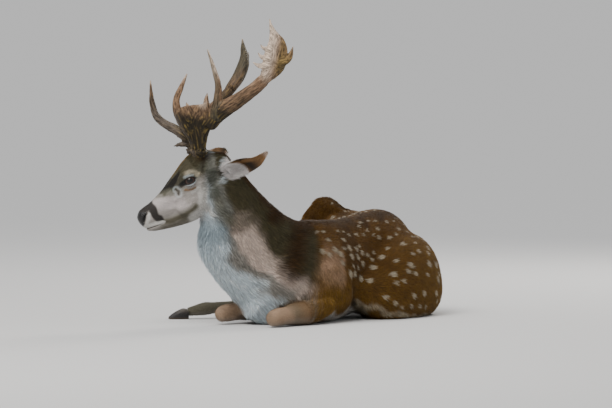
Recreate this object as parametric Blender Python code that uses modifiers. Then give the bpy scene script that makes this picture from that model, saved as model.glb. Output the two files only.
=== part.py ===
"""A fallow deer buck lying at rest, life size: solids for a still model."""
import math

import bmesh
import bpy
import numpy as np
from mathutils import Matrix, Vector

# How finely the form is divided.
SIDES, STEPS = 16, 3
CAP_ANGLES = (0.9,)
ANTLER_SIDES, ANTLER_STEPS = 6, 2
CLAW_STEPS = 1
EAR_POINTS, EAR_STEPS = 5, 1


# --- The deer's form: one set of sections, in metres -------------------------
# The deer faces -X and lies on the floor, z = 0. Its left side is at -Y.
# A loft section is (low point, high point, half width, taper, fullness): the
# taper widens the low side where it is negative, and fullness 2 is an ellipse.

def vec(*numbers):
    return np.array(numbers, float)


def flow(rows, steps):
    """Rows of numbers eased through a Catmull-Rom curve, steps to a span."""
    rows = np.array(rows, float)
    ends = np.vstack([2 * rows[0] - rows[1], rows, 2 * rows[-1] - rows[-2]])
    out = []
    for i in range(1, len(rows)):
        a, b, c, d = ends[i - 1], ends[i], ends[i + 1], ends[i + 2]
        for t in np.arange(steps) / steps:
            out.append(0.5 * (2 * b + (c - a) * t + (2 * a - 5 * b + 4 * c - d) * t * t
                              + (3 * b - a - 3 * c + d) * t ** 3))
    return np.array(out + [rows[-1]])


def unit(v):
    return v / max(np.linalg.norm(v), 1e-9)


def closed_rings(rings, tangents, reach):
    """Rings of points with a rounded cap on each end, as one closed mesh."""
    first, last = rings[0], rings[-1]
    caps = [], []
    for side, (ring, way) in enumerate(((first, -tangents[0]), (last, tangents[-1]))):
        centre = ring.mean(axis=0)
        for angle in CAP_ANGLES:
            swell = centre + (ring - centre) * math.cos(angle)
            caps[side].append(swell + unit(way) * reach[side] * math.sin(angle))
    tips = [ring.mean(axis=0) + unit(way) * far for ring, way, far in
            ((first, -tangents[0], reach[0]), (last, tangents[-1], reach[1]))]
    rings = caps[0][::-1] + list(rings) + caps[1]
    n = len(first)
    points = np.vstack(rings + [tips[0][None], tips[1][None]])
    faces = []
    for k in range(len(rings) - 1):
        for j in range(n):
            a, b = k * n + j, k * n + (j + 1) % n
            faces.append((a, b, b + n, a + n))
    low_tip, high_tip, top = len(points) - 2, len(points) - 1, (len(rings) - 1) * n
    for j in range(n):
        faces.append((low_tip, (j + 1) % n, j))
        faces.append((high_tip, top + j, top + (j + 1) % n))
    return points, faces


def loft(sections, steps=STEPS, sides=SIDES, reach=(0.02, 0.02)):
    """A body through sections, each told by its low and its high point."""
    rows = flow([[*low, *high, *rest] for low, high, *rest in sections], steps)
    middles = (rows[:, :3] + rows[:, 3:6]) / 2
    tangents = np.gradient(middles, axis=0)
    turn = np.linspace(0, 2 * math.pi, sides, endpoint=False)
    rings = []
    for row, middle, tangent in zip(rows, middles, tangents):
        rise = (row[3:6] - row[:3]) / 2
        width, taper, fullness = row[6:9]
        across = unit(np.cross(tangent, rise))
        c, s = np.cos(turn), np.sin(turn)
        up = np.sign(s) * np.abs(s) ** (2 / fullness)
        out = np.sign(c) * np.abs(c) ** (2 / fullness) * width * (1 + taper * up)
        rings.append(middle + out[:, None] * across + up[:, None] * rise)
    return closed_rings(rings, tangents, reach)


def limb(stations, deep=(0, 0, 1), steps=STEPS, sides=SIDES, reach=None):
    """A tapering round or flat form: (x, y, z, half width, half depth) along it."""
    rows = flow(stations, steps)
    tangents = np.gradient(rows[:, :3], axis=0)
    turn = np.linspace(0, 2 * math.pi, sides, endpoint=False)
    rings = []
    for row, tangent in zip(rows, tangents):
        across = unit(np.cross(unit(tangent), np.array(deep, float)))
        down = np.cross(across, unit(tangent))
        ring = np.outer(np.cos(turn) * row[3], across) - np.outer(np.sin(turn) * row[4], down)
        rings.append(row[:3] + ring)
    if reach is None:
        reach = (min(rows[0, 3:5]) * 0.8, min(rows[-1, 3:5]) * 0.8)
    return closed_rings(rings, tangents, reach)


def swelling(centre, radii, along=(1, 0, 0), tilt=(0, 0, 1), sides=SIDES):
    """An ellipsoid of muscle or bone: radii along, across and towards tilt."""
    x = unit(np.array(along, float))
    y = unit(np.cross(np.array(tilt, float), x))
    z = np.cross(x, y)
    turn = np.linspace(0, 2 * math.pi, sides, endpoint=False)
    rings = []
    for part in np.linspace(-0.75, 0.75, sides // 2 - 1):
        ring_size = math.cos(part * math.pi / 2)
        ring = (np.outer(np.cos(turn) * radii[1], y) + np.outer(np.sin(turn) * radii[2], z)) * ring_size
        rings.append(np.array(centre) + x * radii[0] * math.sin(part * math.pi / 2) + ring)
    gap = radii[0] * (1 - math.sin(0.75 * math.pi / 2))
    return closed_rings(rings, [x, x], (gap, gap))


def leaf(spine, face, cup, thickness=0.004, steps=EAR_STEPS):
    """A cupped ear: (x, y, z, half width) along its back, open towards face."""
    rows = flow(spine, steps)
    tangents = np.gradient(rows[:, :3], axis=0)
    edge = np.linspace(-1, 1, EAR_POINTS)
    rings = []
    for row, tangent in zip(rows, tangents):
        across = unit(np.cross(np.array(face, float), unit(tangent)))
        front = np.cross(unit(tangent), across)
        curl = cup * row[3] * (1 - np.cos(edge * math.pi / 2))
        wall = thickness * (1 - 0.45 * np.abs(edge))
        back = np.outer(edge * row[3], across) + np.outer(curl, front)
        inner = back + np.outer(wall, front)
        rings.append(row[:3] + np.vstack([back, inner[::-1]]))
    return closed_rings(rings, tangents, (thickness, thickness))


# The head is drawn in its own frame, in centimetres: back from the nose tip
# along the face, up from there, and out to the deer's left.
HEAD_AT = vec(-0.182, 0.339, 0.324)
HEAD_TURN = math.radians(132)
HEAD_DIP = math.radians(34)
FACING = vec(math.cos(HEAD_TURN), math.sin(HEAD_TURN), 0)
LEFTWARD = vec(-math.sin(HEAD_TURN), math.cos(HEAD_TURN), 0)
RISE = vec(0, 0, 1)
CROWN = HEAD_AT - 0.183 * FACING + 0.192 * RISE


def on_head(back, up, out=0.0):
    along = -FACING * math.cos(HEAD_DIP) + RISE * math.sin(HEAD_DIP)
    above = FACING * math.sin(HEAD_DIP) + RISE * math.cos(HEAD_DIP)
    return HEAD_AT + (back * along + up * above + out * LEFTWARD) / 100


def by_crown(back, up, out):
    """A point from the middle of the crown, level with the floor, in centimetres."""
    return CROWN + (-back * FACING + up * RISE + out * LEFTWARD) / 100


def face_loft(rows, **more):
    """A loft along the face: (back, low, high, half width, taper, fullness) in cm."""
    sections = [(on_head(back, low), on_head(back, high), wide / 100, taper, full)
                for back, low, high, wide, taper, full in rows]
    return loft(sections, **more)


def on_both(shape):
    """The same shape for the left (1) and right (-1) side of the head."""
    return [shape(1), shape(-1)]


def head_form():
    """Skull, muzzle, jaw, cheeks, brows and the roots of the ears."""
    skull = face_loft([
        (0.5, -3.9, 0.1, 1.9, 0.00, 2.4), (1.6, -4.7, 1.0, 2.6, 0.05, 2.5),
        (3.5, -5.2, 1.3, 2.8, 0.08, 2.4), (6.2, -5.8, 1.4, 2.8, 0.12, 2.3),
        (10.8, -6.5, 2.4, 3.3, 0.15, 2.3), (14.0, -7.3, 3.6, 4.1, 0.22, 2.3),
        (17.3, -7.8, 4.8, 5.0, 0.30, 2.3), (20.5, -7.8, 6.0, 5.5, 0.25, 2.3),
        (24.0, -7.8, 6.6, 5.4, 0.15, 2.2), (28.0, -7.2, 5.4, 5.0, 0.05, 2.1),
        (31.5, -5.5, 2.6, 4.2, 0.00, 2.0)], reach=(0.006, 0.018))
    jaw = face_loft([
        (1.1, -5.7, -3.6, 1.3, 0.10, 2.2), (2.4, -6.6, -3.4, 1.8, 0.12, 2.2),
        (5.0, -7.8, -3.8, 1.9, 0.15, 2.2), (8.5, -9.2, -4.3, 2.2, 0.18, 2.2),
        (12.4, -10.5, -4.3, 2.7, 0.20, 2.2), (16.0, -11.1, -3.5, 3.3, 0.20, 2.2),
        (19.5, -10.6, -2.5, 3.8, 0.15, 2.1), (23.5, -9.4, -1.5, 4.0, 0.10, 2.0)],
        reach=(0.005, 0.02))
    along = on_head(1, 0) - on_head(0, 0)
    above = on_head(0, 1) - on_head(0, 0)

    def cheek(side):
        return swelling(on_head(16.2, -5.2, 2.9 * side), (0.052, 0.020, 0.042), along, above)

    def brow(side):
        return swelling(on_head(19.2, 1.6, 4.15 * side), (0.038, 0.019, 0.024), along, above)

    def cheekbone(side):
        return swelling(on_head(16.5, -2.1, 3.7 * side), (0.050, 0.013, 0.018), along, above)

    def ear_root(side):
        return swelling(on_head(29.3, -0.6, 4.6 * side), (0.028, 0.022, 0.027), along, above)

    def pedicle(side):
        return limb([(*on_head(24.0, 3.0, 3.2 * side), 0.022, 0.022),
                     (*on_head(25.6, 5.6, 3.5 * side), 0.0185, 0.0185),
                     (*on_head(26.4, 7.0, 3.7 * side), 0.0175, 0.0175)], deep=FACING)

    pairs = [one for shape in (cheek, brow, cheekbone, ear_root, pedicle) for one in on_both(shape)]
    return [skull, jaw, *pairs]


# The neck, thick and deep as a buck's is, from the shoulders to behind the jaw.
NECK = [
    (vec(0.075, 0.125, 0.050), vec(0.300, 0.042, 0.300), 0.108, -0.05, 2.1),
    (vec(0.028, 0.172, 0.110), vec(0.255, 0.047, 0.308), 0.100, -0.02, 2.1),
    (vec(-0.012, 0.205, 0.175), vec(0.198, 0.052, 0.325), 0.092, 0.00, 2.1),
    (vec(-0.031, 0.219, 0.228), vec(0.150, 0.058, 0.350), 0.084, 0.00, 2.1),
    (vec(-0.040, 0.207, 0.290), vec(0.100, 0.072, 0.388), 0.075, 0.00, 2.1),
    (vec(-0.050, 0.190, 0.348), vec(0.058, 0.090, 0.432), 0.066, 0.00, 2.1),
    (vec(-0.058, 0.182, 0.395), vec(0.026, 0.115, 0.480), 0.056, 0.00, 2.1)]

# Chest, belly and rump: an arc hollow to the right, rolled on the left hip.
BARREL = [
    (vec(0.082, 0.118, 0.022), vec(0.130, 0.095, 0.200), 0.075, 0.05, 2.1),
    (vec(0.125, 0.098, -0.004), vec(0.205, 0.062, 0.290), 0.110, -0.04, 2.1),
    (vec(0.205, 0.075, -0.008), vec(0.275, 0.045, 0.309), 0.126, -0.20, 2.2),
    (vec(0.300, 0.050, -0.008), vec(0.350, 0.028, 0.308), 0.128, -0.24, 2.2),
    (vec(0.400, 0.066, -0.008), vec(0.450, 0.022, 0.306), 0.112, -0.10, 2.1),
    (vec(0.520, 0.090, 0.000), vec(0.550, 0.014, 0.312), 0.106, 0.06, 2.1),
    (vec(0.630, 0.100, 0.025), vec(0.650, 0.008, 0.320), 0.118, 0.05, 2.1),
    (vec(0.730, 0.130, 0.060), vec(0.740, 0.015, 0.318), 0.112, 0.00, 2.1),
    (vec(0.810, 0.145, 0.080), vec(0.820, 0.030, 0.285), 0.098, 0.00, 2.1),
    (vec(0.870, 0.140, 0.100), vec(0.876, 0.050, 0.225), 0.060, 0.00, 2.0)]


def trunk_form():
    """Chest, belly, rump and both shoulders."""
    barrel = loft(BARREL, reach=(0.035, 0.03), sides=2 * SIDES)
    shoulder = swelling((0.185, 0.008, 0.140), (0.125, 0.064, 0.110), (1, -0.25, 0.35))
    far_shoulder = swelling((0.225, 0.110, 0.140), (0.120, 0.062, 0.110), (1, -0.25, 0.35))
    return [barrel, shoulder, far_shoulder]


# Each leg is a chain of joints, (x, y, z), from the body to the fetlock, with
# the place of its toe last.
LEGS = {
    "foreleg_left": dict(elbow=(0.232, -0.036, 0.040), knee=(0.033, -0.012, 0.029),
                         fetlock=(0.205, 0.006, 0.022), toe=(0.298, 0.014, 0.008)),
    "foreleg_right": dict(elbow=(0.287, 0.142, 0.045), knee=(0.062, 0.186, 0.034),
                          fetlock=(0.240, 0.128, 0.022), toe=(0.334, 0.112, 0.008)),
    "hindleg_left": dict(knee=(0.520, -0.078, 0.080),
                         hock=(0.785, 0.060, 0.045), fetlock=(0.628, 0.222, 0.030),
                         toe=(0.550, 0.292, 0.008)),
    "hindleg_right": dict(hip=(0.744, 0.112, 0.220), knee=(0.518, 0.116, 0.322),
                          hock=(0.461, 0.206, 0.050), fetlock=(0.255, 0.384, 0.030),
                          toe=(0.178, 0.456, 0.008)),
}


def between(a, b, part, lift=0.0):
    a, b = np.array(a, float), np.array(b, float)
    return a + (b - a) * part + vec(0, 0, lift)


def chain(joints, widths, **more):
    """A limb through (from, to, part of the way, lift) places with radii."""
    stations = [(*between(a, b, part, lift), wide, deep)
                for (a, b, part, lift), (wide, deep) in zip(joints, widths)]
    return limb(stations, **more)


def foreleg_form(name):
    at = LEGS[name]
    elbow, knee, fetlock, toe = at["elbow"], at["knee"], at["fetlock"], at["toe"]
    forearm = chain([(elbow, knee, -0.10, 0.02), (elbow, knee, 0.15, 0.005), (elbow, knee, 0.45, 0.0),
                     (elbow, knee, 0.75, 0.0), (elbow, knee, 0.95, 0.0), (elbow, knee, 1.06, -0.002)],
                    [(0.048, 0.044), (0.044, 0.042), (0.036, 0.035), (0.027, 0.028), (0.026, 0.028),
                     (0.024, 0.025)])
    cannon = chain([(knee, fetlock, -0.02, -0.004), (knee, fetlock, 0.12, 0.0), (knee, fetlock, 0.5, 0.0),
                    (knee, fetlock, 0.88, 0.0), (knee, fetlock, 1.0, 0.0), (fetlock, toe, 0.45, 0.0)],
                   [(0.023, 0.023), (0.018, 0.020), (0.0135, 0.016), (0.0145, 0.018), (0.0175, 0.020),
                    (0.0145, 0.0145)])
    return [forearm, cannon]


def shank_and_foot(at):
    knee, hock, fetlock, toe = at["knee"], at["hock"], at["fetlock"], at["toe"]
    shank = chain([(knee, hock, -0.04, 0), (knee, hock, 0.12, 0), (knee, hock, 0.3, 0), (knee, hock, 0.55, 0),
                   (knee, hock, 0.8, 0), (knee, hock, 1.0, 0)],
                  [(0.044, 0.050), (0.046, 0.064), (0.042, 0.060), (0.030, 0.040),
                   (0.019, 0.028), (0.021, 0.030)], deep=vec(*fetlock) - vec(*hock))
    foot = chain([(hock, fetlock, -0.12, -0.004), (hock, fetlock, 0.06, 0.0), (hock, fetlock, 0.25, 0),
                  (hock, fetlock, 0.6, 0), (hock, fetlock, 0.9, 0), (hock, fetlock, 1.0, 0),
                  (fetlock, toe, 0.45, 0.002)],
                 [(0.021, 0.024), (0.022, 0.028), (0.0165, 0.020), (0.014, 0.018), (0.016, 0.020),
                  (0.0195, 0.022), (0.0155, 0.0155)])
    return [shank, foot]


def thigh_form(name):
    """The left thigh bears the weight, broad on the floor; the right one is raised."""
    if name == "hindleg_left":
        return [loft([
            (vec(0.475, -0.085, 0.015), vec(0.480, -0.078, 0.140), 0.055, -0.05, 2.1),
            (vec(0.530, -0.082, -0.020), vec(0.540, -0.070, 0.188), 0.085, -0.08, 2.2),
            (vec(0.605, -0.066, -0.030), vec(0.612, -0.050, 0.235), 0.113, -0.12, 2.3),
            (vec(0.685, -0.044, -0.030), vec(0.690, -0.028, 0.258), 0.128, -0.16, 2.4),
            (vec(0.765, -0.022, -0.025), vec(0.768, -0.008, 0.256), 0.124, -0.16, 2.4),
            (vec(0.835, 0.006, -0.010), vec(0.838, 0.012, 0.235), 0.100, -0.10, 2.3),
            (vec(0.885, 0.030, 0.015), vec(0.886, 0.034, 0.195), 0.062, 0.00, 2.1)],
            reach=(0.03, 0.02))]
    hip, knee = LEGS[name]["hip"], LEGS[name]["knee"]
    return [chain([(hip, knee, -0.15, 0.0), (hip, knee, 0.15, -0.03), (hip, knee, 0.45, -0.040),
                   (hip, knee, 0.75, -0.03), (hip, knee, 0.97, 0.0), (hip, knee, 1.02, 0.0)],
                  [(0.070, 0.085), (0.080, 0.110), (0.074, 0.106), (0.060, 0.086), (0.048, 0.055),
                   (0.043, 0.047)])]


def tail_form():
    return [limb([(0.862, 0.070, 0.235, 0.020, 0.018), (0.900, 0.078, 0.215, 0.024, 0.018),
                  (0.928, 0.088, 0.165, 0.027, 0.017), (0.938, 0.098, 0.110, 0.020, 0.014),
                  (0.940, 0.104, 0.070, 0.010, 0.009)], deep=(1, 0, 0))]


# Each ear from root to tip: back, up and out from the crown and half width, in centimetres.
EAR_SPINES = {
    1: [(8.6, -4.7, 4.4, 2.5), (10.2, -3.9, 6.6, 3.0), (12.7, -2.8, 9.6, 2.9), (15.5, -1.8, 12.8, 2.0),
        (18.1, 0.4, 15.6, 0.6)],
    -1: [(8.2, -4.8, 4.4, 2.4), (8.2, -3.6, 7.2, 3.0), (8.0, -2.4, 10.6, 3.3), (7.4, -1.2, 14.4, 2.3),
         (6.6, -0.4, 18.0, 0.6)]}
EAR_FACES = {1: -0.30 * RISE + 0.90 * LEFTWARD - 0.15 * FACING,
             -1: 0.8 * RISE + 0.5 * LEFTWARD + 0.4 * FACING}


def ear_spine(side):
    return [(*by_crown(back, up, out * side), wide / 100) for back, up, out, wide in EAR_SPINES[side]]


def ear_form(side):
    """Laid back and out; the right one turns further out than the left."""
    return leaf(ear_spine(side), face=EAR_FACES[side], cup=0.55 if side > 0 else 0.5)


def tine(rows, side, broad=1.0):
    """A round or flat tine through (back, up, out, half width) rows in centimetres."""
    stations = [(*by_crown(back, up, out * side), wide / 100, max(wide * broad, 0.15) / 100)
                for back, up, out, wide in rows]
    return limb(stations, deep=LEFTWARD, sides=ANTLER_SIDES, steps=ANTLER_STEPS)


def plate(rows, side):
    """A blade through (front back, front up, rear back, rear up, out, half thickness) rows."""
    sections = [(by_crown(a, b, (out - 0.4) * side), by_crown(c, d, (out + 0.4) * side), thick / 100, 0, 2.0)
                for a, b, c, d, out, thick in rows]
    return loft(sections, sides=ANTLER_SIDES, steps=ANTLER_STEPS, reach=(0.006, 0.005))


def antler_form(side):
    """One antler's beam, brow tine, trez tine and palm, each a list of shapes."""
    burr = tine([(0.0, -0.5, 3.5, 2.0), (0.0, 0.0, 3.6, 2.55), (0.05, 0.6, 3.7, 2.5),
                 (0.1, 1.0, 3.8, 2.0)], side)
    if side > 0:
        beam = [burr,
                plate([(-1.8, 0.4, 1.9, 0.4, 3.7, 1.7), (-3.6, 4.3, 2.3, 4.3, 5.0, 1.6),
                       (-6.4, 7.9, 3.4, 7.6, 6.8, 1.3), (-7.4, 11.2, 5.8, 11.0, 8.4, 1.0),
                       (-6.2, 13.4, 6.3, 14.2, 9.2, 0.7)], side),
                tine([(2.4, 8.3, 8.0, 2.2), (5.2, 12.0, 10.6, 2.6), (10.0, 15.4, 14.2, 2.2),
                      (14.2, 18.8, 17.3, 1.95), (16.6, 21.2, 19.0, 1.9)], side, 0.7),
                tine([(-3.2, 11.8, 7.4, 0.9), (-3.9, 13.6, 7.2, 0.6), (-4.2, 14.8, 7.0, 0.15)], side),
                tine([(1.5, 12.6, 9.0, 1.2), (1.4, 15.2, 9.0, 0.8), (1.7, 17.6, 9.0, 0.15)], side)]
        brow = [tine([(-5.6, 9.4, 6.4, 1.5), (-6.9, 12.4, 6.9, 1.3), (-7.2, 15.4, 7.2, 1.0),
                      (-6.0, 18.8, 7.6, 0.8), (-4.1, 23.2, 8.0, 0.2)], side)]
        trez = [tine([(4.2, 12.0, 10.2, 1.5), (4.5, 16.4, 11.2, 1.25), (4.4, 20.1, 12.0, 0.95),
                      (2.9, 25.3, 12.5, 0.65), (1.2, 30.3, 12.5, 0.2)], side)]
        palm = [plate([(15.4, 21.8, 18.2, 20.6, 19.2, 1.2), (15.9, 24.6, 21.9, 23.6, 20.6, 0.9),
                       (16.2, 28.0, 23.3, 27.2, 21.8, 0.8), (16.8, 30.5, 23.1, 30.8, 22.6, 0.7),
                       (17.6, 32.6, 22.0, 33.4, 22.9, 0.6), (17.8, 34.8, 20.2, 35.2, 23.0, 0.5),
                       (17.8, 37.0, 18.6, 37.4, 23.0, 0.3), (17.8, 38.7, 18.0, 38.9, 23.0, 0.15)], side),
                tine([(20.6, 26.4, 21.8, 1.8), (23.6, 27.8, 22.2, 1.1), (24.9, 31.2, 22.5, 0.18)], side, 0.5),
                tine([(17.2, 25.4, 21.0, 1.1), (14.9, 25.6, 21.2, 0.7), (13.2, 26.6, 21.4, 0.15)], side, 0.7),
                tine([(17.4, 27.6, 21.6, 1.0), (15.6, 28.2, 21.7, 0.6), (14.6, 29.4, 21.8, 0.15)], side, 0.7),
                tine([(17.6, 30.2, 22.2, 0.9), (16.0, 30.8, 22.3, 0.5), (15.3, 31.8, 22.3, 0.15)], side, 0.7)]
        return dict(beam=beam, brow=brow, trez=trez, palm=palm)
    beam = [burr,
            plate([(-1.8, 0.4, 1.9, 0.4, 3.7, 1.7), (-3.0, 4.3, 2.2, 4.3, 5.0, 1.6),
                   (-2.6, 7.9, 3.4, 7.6, 6.8, 1.4), (-0.6, 10.6, 5.6, 10.4, 8.6, 1.2),
                   (2.0, 13.0, 6.6, 12.6, 10.0, 0.9)], side),
            tine([(3.0, 8.5, 8.0, 1.8), (5.5, 11.6, 10.4, 1.9), (9.2, 15.0, 13.4, 1.6),
                  (12.2, 18.0, 15.8, 1.5), (14.0, 20.0, 17.2, 1.5)], side, 0.9),
            tine([(-1.0, 2.2, 4.4, 1.0), (-3.8, 2.2, 5.0, 0.7), (-6.2, 1.7, 5.2, 0.18)], side)]
    brow = [tine([(-1.2, 3.4, 4.6, 1.7), (-4.9, 6.2, 5.8, 1.45), (-8.5, 8.2, 6.9, 1.25),
                  (-11.1, 10.6, 7.5, 1.1), (-12.3, 14.9, 8.0, 0.8), (-12.8, 21.1, 8.0, 0.2)], side)]
    palm = [tine([(12.6, 18.6, 16.2, 1.6), (15.0, 21.6, 17.9, 1.8), (16.8, 25.2, 19.4, 1.75),
                  (17.4, 28.2, 20.5, 1.25), (17.2, 30.6, 21.2, 0.8), (17.0, 33.4, 21.6, 0.2)], side, 1.7),
            tine([(17.0, 25.0, 20.6, 1.0), (18.4, 27.4, 21.6, 0.7), (18.9, 29.4, 22.2, 0.18)], side)]
    return dict(beam=beam, brow=brow, palm=palm)


def claw_form(leg, outer):
    """One claw of a cloven hoof, along the foot's line and flat on the floor."""
    at = LEGS[leg]
    fetlock, toe = vec(*at["fetlock"]), vec(*at["toe"])
    way = unit((toe - fetlock) * vec(1, 1, 0))
    aside = vec(-way[1], way[0], 0) * (0.0105 if outer else -0.0105)
    rows = []
    for along, top, wide in ((-0.050, 0.030, 0.0085), (-0.040, 0.032, 0.0098), (-0.024, 0.026, 0.0098),
                             (-0.008, 0.017, 0.0080), (0.004, 0.008, 0.0045)):
        spot = vec(toe[0], toe[1], 0) + way * along + aside * (1 - 4 * max(along + 0.03, 0))
        rows.append((spot - vec(0, 0, 0.003), spot + vec(0, 0, top), wide, -0.1, 2.6))
    return [loft(rows, sides=ANTLER_SIDES, steps=CLAW_STEPS, reach=(0.003, 0.002))]


EYES = {side: on_head(18.9, 0.35, 4.78 * side) for side in (1, -1)}
EYE_RADIUS = 0.0165


def torso_form():
    """The large masses, whose creases fill in where they meet."""
    thighs = thigh_form("hindleg_left") + thigh_form("hindleg_right")
    return [loft(NECK, reach=(0.03, 0.03))] + trunk_form() + thighs


def slender_form():
    """Head, tail and lower legs, which keep their own edges."""
    shapes = head_form() + tail_form()
    for name in LEGS:
        shapes += foreleg_form(name) if name.startswith("fore") else shank_and_foot(LEGS[name])
    return shapes


# --- Solids ---------------------------------------------------------------

GAP = 0.0004            # between neighbouring solids
FLESH_VOXEL = 0.006

COAT = (0.42, 0.24, 0.12)
PALE_COAT = (0.62, 0.52, 0.42)
HORN = (0.36, 0.27, 0.19)
HOOF = (0.06, 0.05, 0.045)
DARK = (0.02, 0.018, 0.017)


def clear_scene():
    for old in list(bpy.data.objects):
        bpy.data.objects.remove(old, do_unlink=True)


def paint(obj, name, colour, roughness):
    """Give an object its material."""
    material = bpy.data.materials.get(name) or bpy.data.materials.new(name)
    material.use_nodes = True
    shader = material.node_tree.nodes["Principled BSDF"]
    shader.inputs["Base Color"].default_value = (*colour, 1)
    shader.inputs["Roughness"].default_value = roughness
    shader.inputs["Metallic"].default_value = 0
    obj.data.materials.clear()
    obj.data.materials.append(material)


def solid(name, shapes, home):
    """One mesh object that holds each closed shape of a list."""
    work = bmesh.new()
    for points, faces in shapes:
        corners = [work.verts.new(p) for p in points]
        for face in faces:
            work.faces.new([corners[i] for i in face])
    bmesh.ops.recalc_face_normals(work, faces=work.faces)
    bmesh.ops.triangulate(work, faces=work.faces)   # so that a grown copy bends the same way
    mesh = bpy.data.meshes.new(name)
    work.to_mesh(mesh)
    work.free()
    obj = bpy.data.objects.new(name, mesh)
    home.objects.link(obj)
    return obj


def settle(obj):
    """Turn an object's modifiers into plain mesh."""
    mesh = bpy.data.meshes.new_from_object(obj.evaluated_get(bpy.context.evaluated_depsgraph_get()))
    obj.modifiers.clear()
    obj.data = mesh
    return obj


def boolean(obj, cutter, operation):
    change = obj.modifiers.new(operation, "BOOLEAN")
    change.operation = operation
    change.solver = "MANIFOLD"      # EXACT leaves edges open where faces are thin
    change.object = cutter
    return settle(obj)


def union(name, shapes, home):
    """The shapes of a list joined into one closed body."""
    whole = solid(name, shapes[:1], home)
    for shape in shapes[1:]:
        other = solid("joined", [shape], home)
        boolean(whole, other, "UNION")
        bpy.data.objects.remove(other)
    return whole


def largest_body(obj):
    """Drop what a cut left loose beside the main body."""
    work = bmesh.new()
    work.from_mesh(obj.data)
    left, best = set(work.verts), []
    while left:
        body, edge = [], [left.pop()]
        while edge:
            vert = edge.pop()
            body.append(vert)
            for link in vert.link_edges:
                other = link.other_vert(vert)
                if other in left:
                    left.discard(other)
                    edge.append(other)
        best = max(best, body, key=len)
    keep = set(best)
    bmesh.ops.delete(work, geom=[v for v in work.verts if v not in keep], context="VERTS")
    work.to_mesh(obj.data)
    work.free()
    return obj


def grown(obj, by, home):
    """A copy swollen along its normals, to cut a neighbour clear of it."""
    other = bpy.data.objects.new(obj.name + "_clear", obj.data.copy())
    home.objects.link(other)
    swell = other.modifiers.new("swell", "DISPLACE")
    swell.strength = by
    swell.mid_level = 0
    return settle(other)


def remeshed(obj, voxel):
    change = obj.modifiers.new("voxels", "REMESH")
    change.mode = "VOXEL"
    change.voxel_size = voxel
    return settle(obj)


def swollen(obj, by):
    change = obj.modifiers.new("swell", "DISPLACE")
    change.strength = by
    change.mid_level = 0
    return settle(obj)


def smoothed(obj, times):
    change = obj.modifiers.new("ease", "SMOOTH")
    change.factor = 0.5
    change.iterations = times
    return settle(obj)


def joined(name, parts, home):
    """Several objects' meshes in one object."""
    work = bmesh.new()
    for part in parts:
        work.from_mesh(part.data)
        bpy.data.objects.remove(part)
    mesh = bpy.data.meshes.new(name)
    work.to_mesh(mesh)
    work.free()
    obj = bpy.data.objects.new(name, mesh)
    home.objects.link(obj)
    return obj


def flesh_body(home, voxel, fillet=0.016):
    """The whole animal but for ears, antlers, eyes and hooves, as one body."""
    torso = solid("torso", torso_form(), home)
    remeshed(torso, 2 * voxel)
    swollen(torso, fillet)
    remeshed(torso, 2 * voxel)
    smoothed(torso, 4)
    swollen(torso, -fillet)
    whole = joined("flesh", [torso, solid("slender", slender_form(), home)], home)
    remeshed(whole, voxel)
    return smoothed(whole, 6)


# --- The model, parted where a person would name its pieces ----------------

COLLECTION = "fallow_deer"
CUT_SIDES, CUT_STEPS = 8, 1
EYE_SIDES = 10
FACES_BY_HEAD = 4400   # for the whole flesh, if all of it were as fine as the head
FACES_BY_BODY = 1450    # or as coarse as the body
BEAM_FACES, PALM_FACES = 440, 340
FLOOR_DEPTH = 0.3
THINNING_TRIES = 12
NOSE_BACK = 1.9         # how far the bare nose reaches back, in centimetres

# Planes that part the flesh: a point, and the way to the piece that is named.
HEAD_CUT = (vec(-0.010, 0.140, 0.412), vec(-0.50, 0.557, 0.66))
NECK_CUT = (vec(0.140, 0.105, 0.210), vec(-0.641, 0.184, 0.744))
RUMP_CUT = (vec(0.480, 0.050, 0.150), vec(1, 0, 0))

# Round envelopes that part each limb: (x, y, z, half width, half depth) along it.
LIMB_CUTS = {
    "tail": [(0.897, 0.078, 0.222, 0.034, 0.030), (0.928, 0.088, 0.165, 0.036, 0.030),
             (0.946, 0.106, 0.050, 0.034, 0.030)],
    "hindleg_right_foot": [(0.452, 0.214, 0.030, 0.060, 0.060), (0.400, 0.260, 0.030, 0.050, 0.055),
                           (0.255, 0.384, 0.030, 0.050, 0.060), (0.150, 0.480, 0.020, 0.050, 0.060)],
    "hindleg_right": [(0.800, 0.175, 0.170, 0.090, 0.130), (0.720, 0.175, 0.190, 0.095, 0.140),
                      (0.620, 0.165, 0.240, 0.090, 0.140), (0.540, 0.145, 0.300, 0.080, 0.120),
                      (0.495, 0.130, 0.315, 0.070, 0.090)],
    "hindleg_right_shank": [(0.515, 0.128, 0.300, 0.075, 0.085), (0.490, 0.165, 0.180, 0.060, 0.075),
                            (0.462, 0.206, 0.050, 0.060, 0.075), (0.455, 0.212, -0.02, 0.060, 0.075)],
    "hindleg_left_foot": [(0.735, 0.110, 0.035, 0.040, 0.045), (0.628, 0.222, 0.030, 0.050, 0.055),
                          (0.520, 0.318, 0.020, 0.055, 0.055)],
    "hindleg_left": [(0.440, -0.110, 0.060, 0.080, 0.120), (0.550, -0.125, 0.070, 0.110, 0.170),
                     (0.660, -0.125, 0.080, 0.130, 0.200), (0.770, -0.115, 0.080, 0.130, 0.200),
                     (0.880, -0.075, 0.070, 0.110, 0.180)],
    "foreleg_left": [(-0.020, -0.004, 0.030, 0.050, 0.050), (0.033, -0.010, 0.030, 0.050, 0.050),
                     (0.120, -0.020, 0.034, 0.056, 0.050), (0.200, -0.030, 0.038, 0.060, 0.050),
                     (0.262, -0.038, 0.042, 0.050, 0.046)],
    "foreleg_right": [(0.010, 0.192, 0.032, 0.050, 0.050), (0.062, 0.184, 0.034, 0.050, 0.052),
                      (0.150, 0.172, 0.036, 0.058, 0.052), (0.240, 0.152, 0.040, 0.062, 0.052),
                      (0.305, 0.138, 0.044, 0.052, 0.048)],
}


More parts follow.
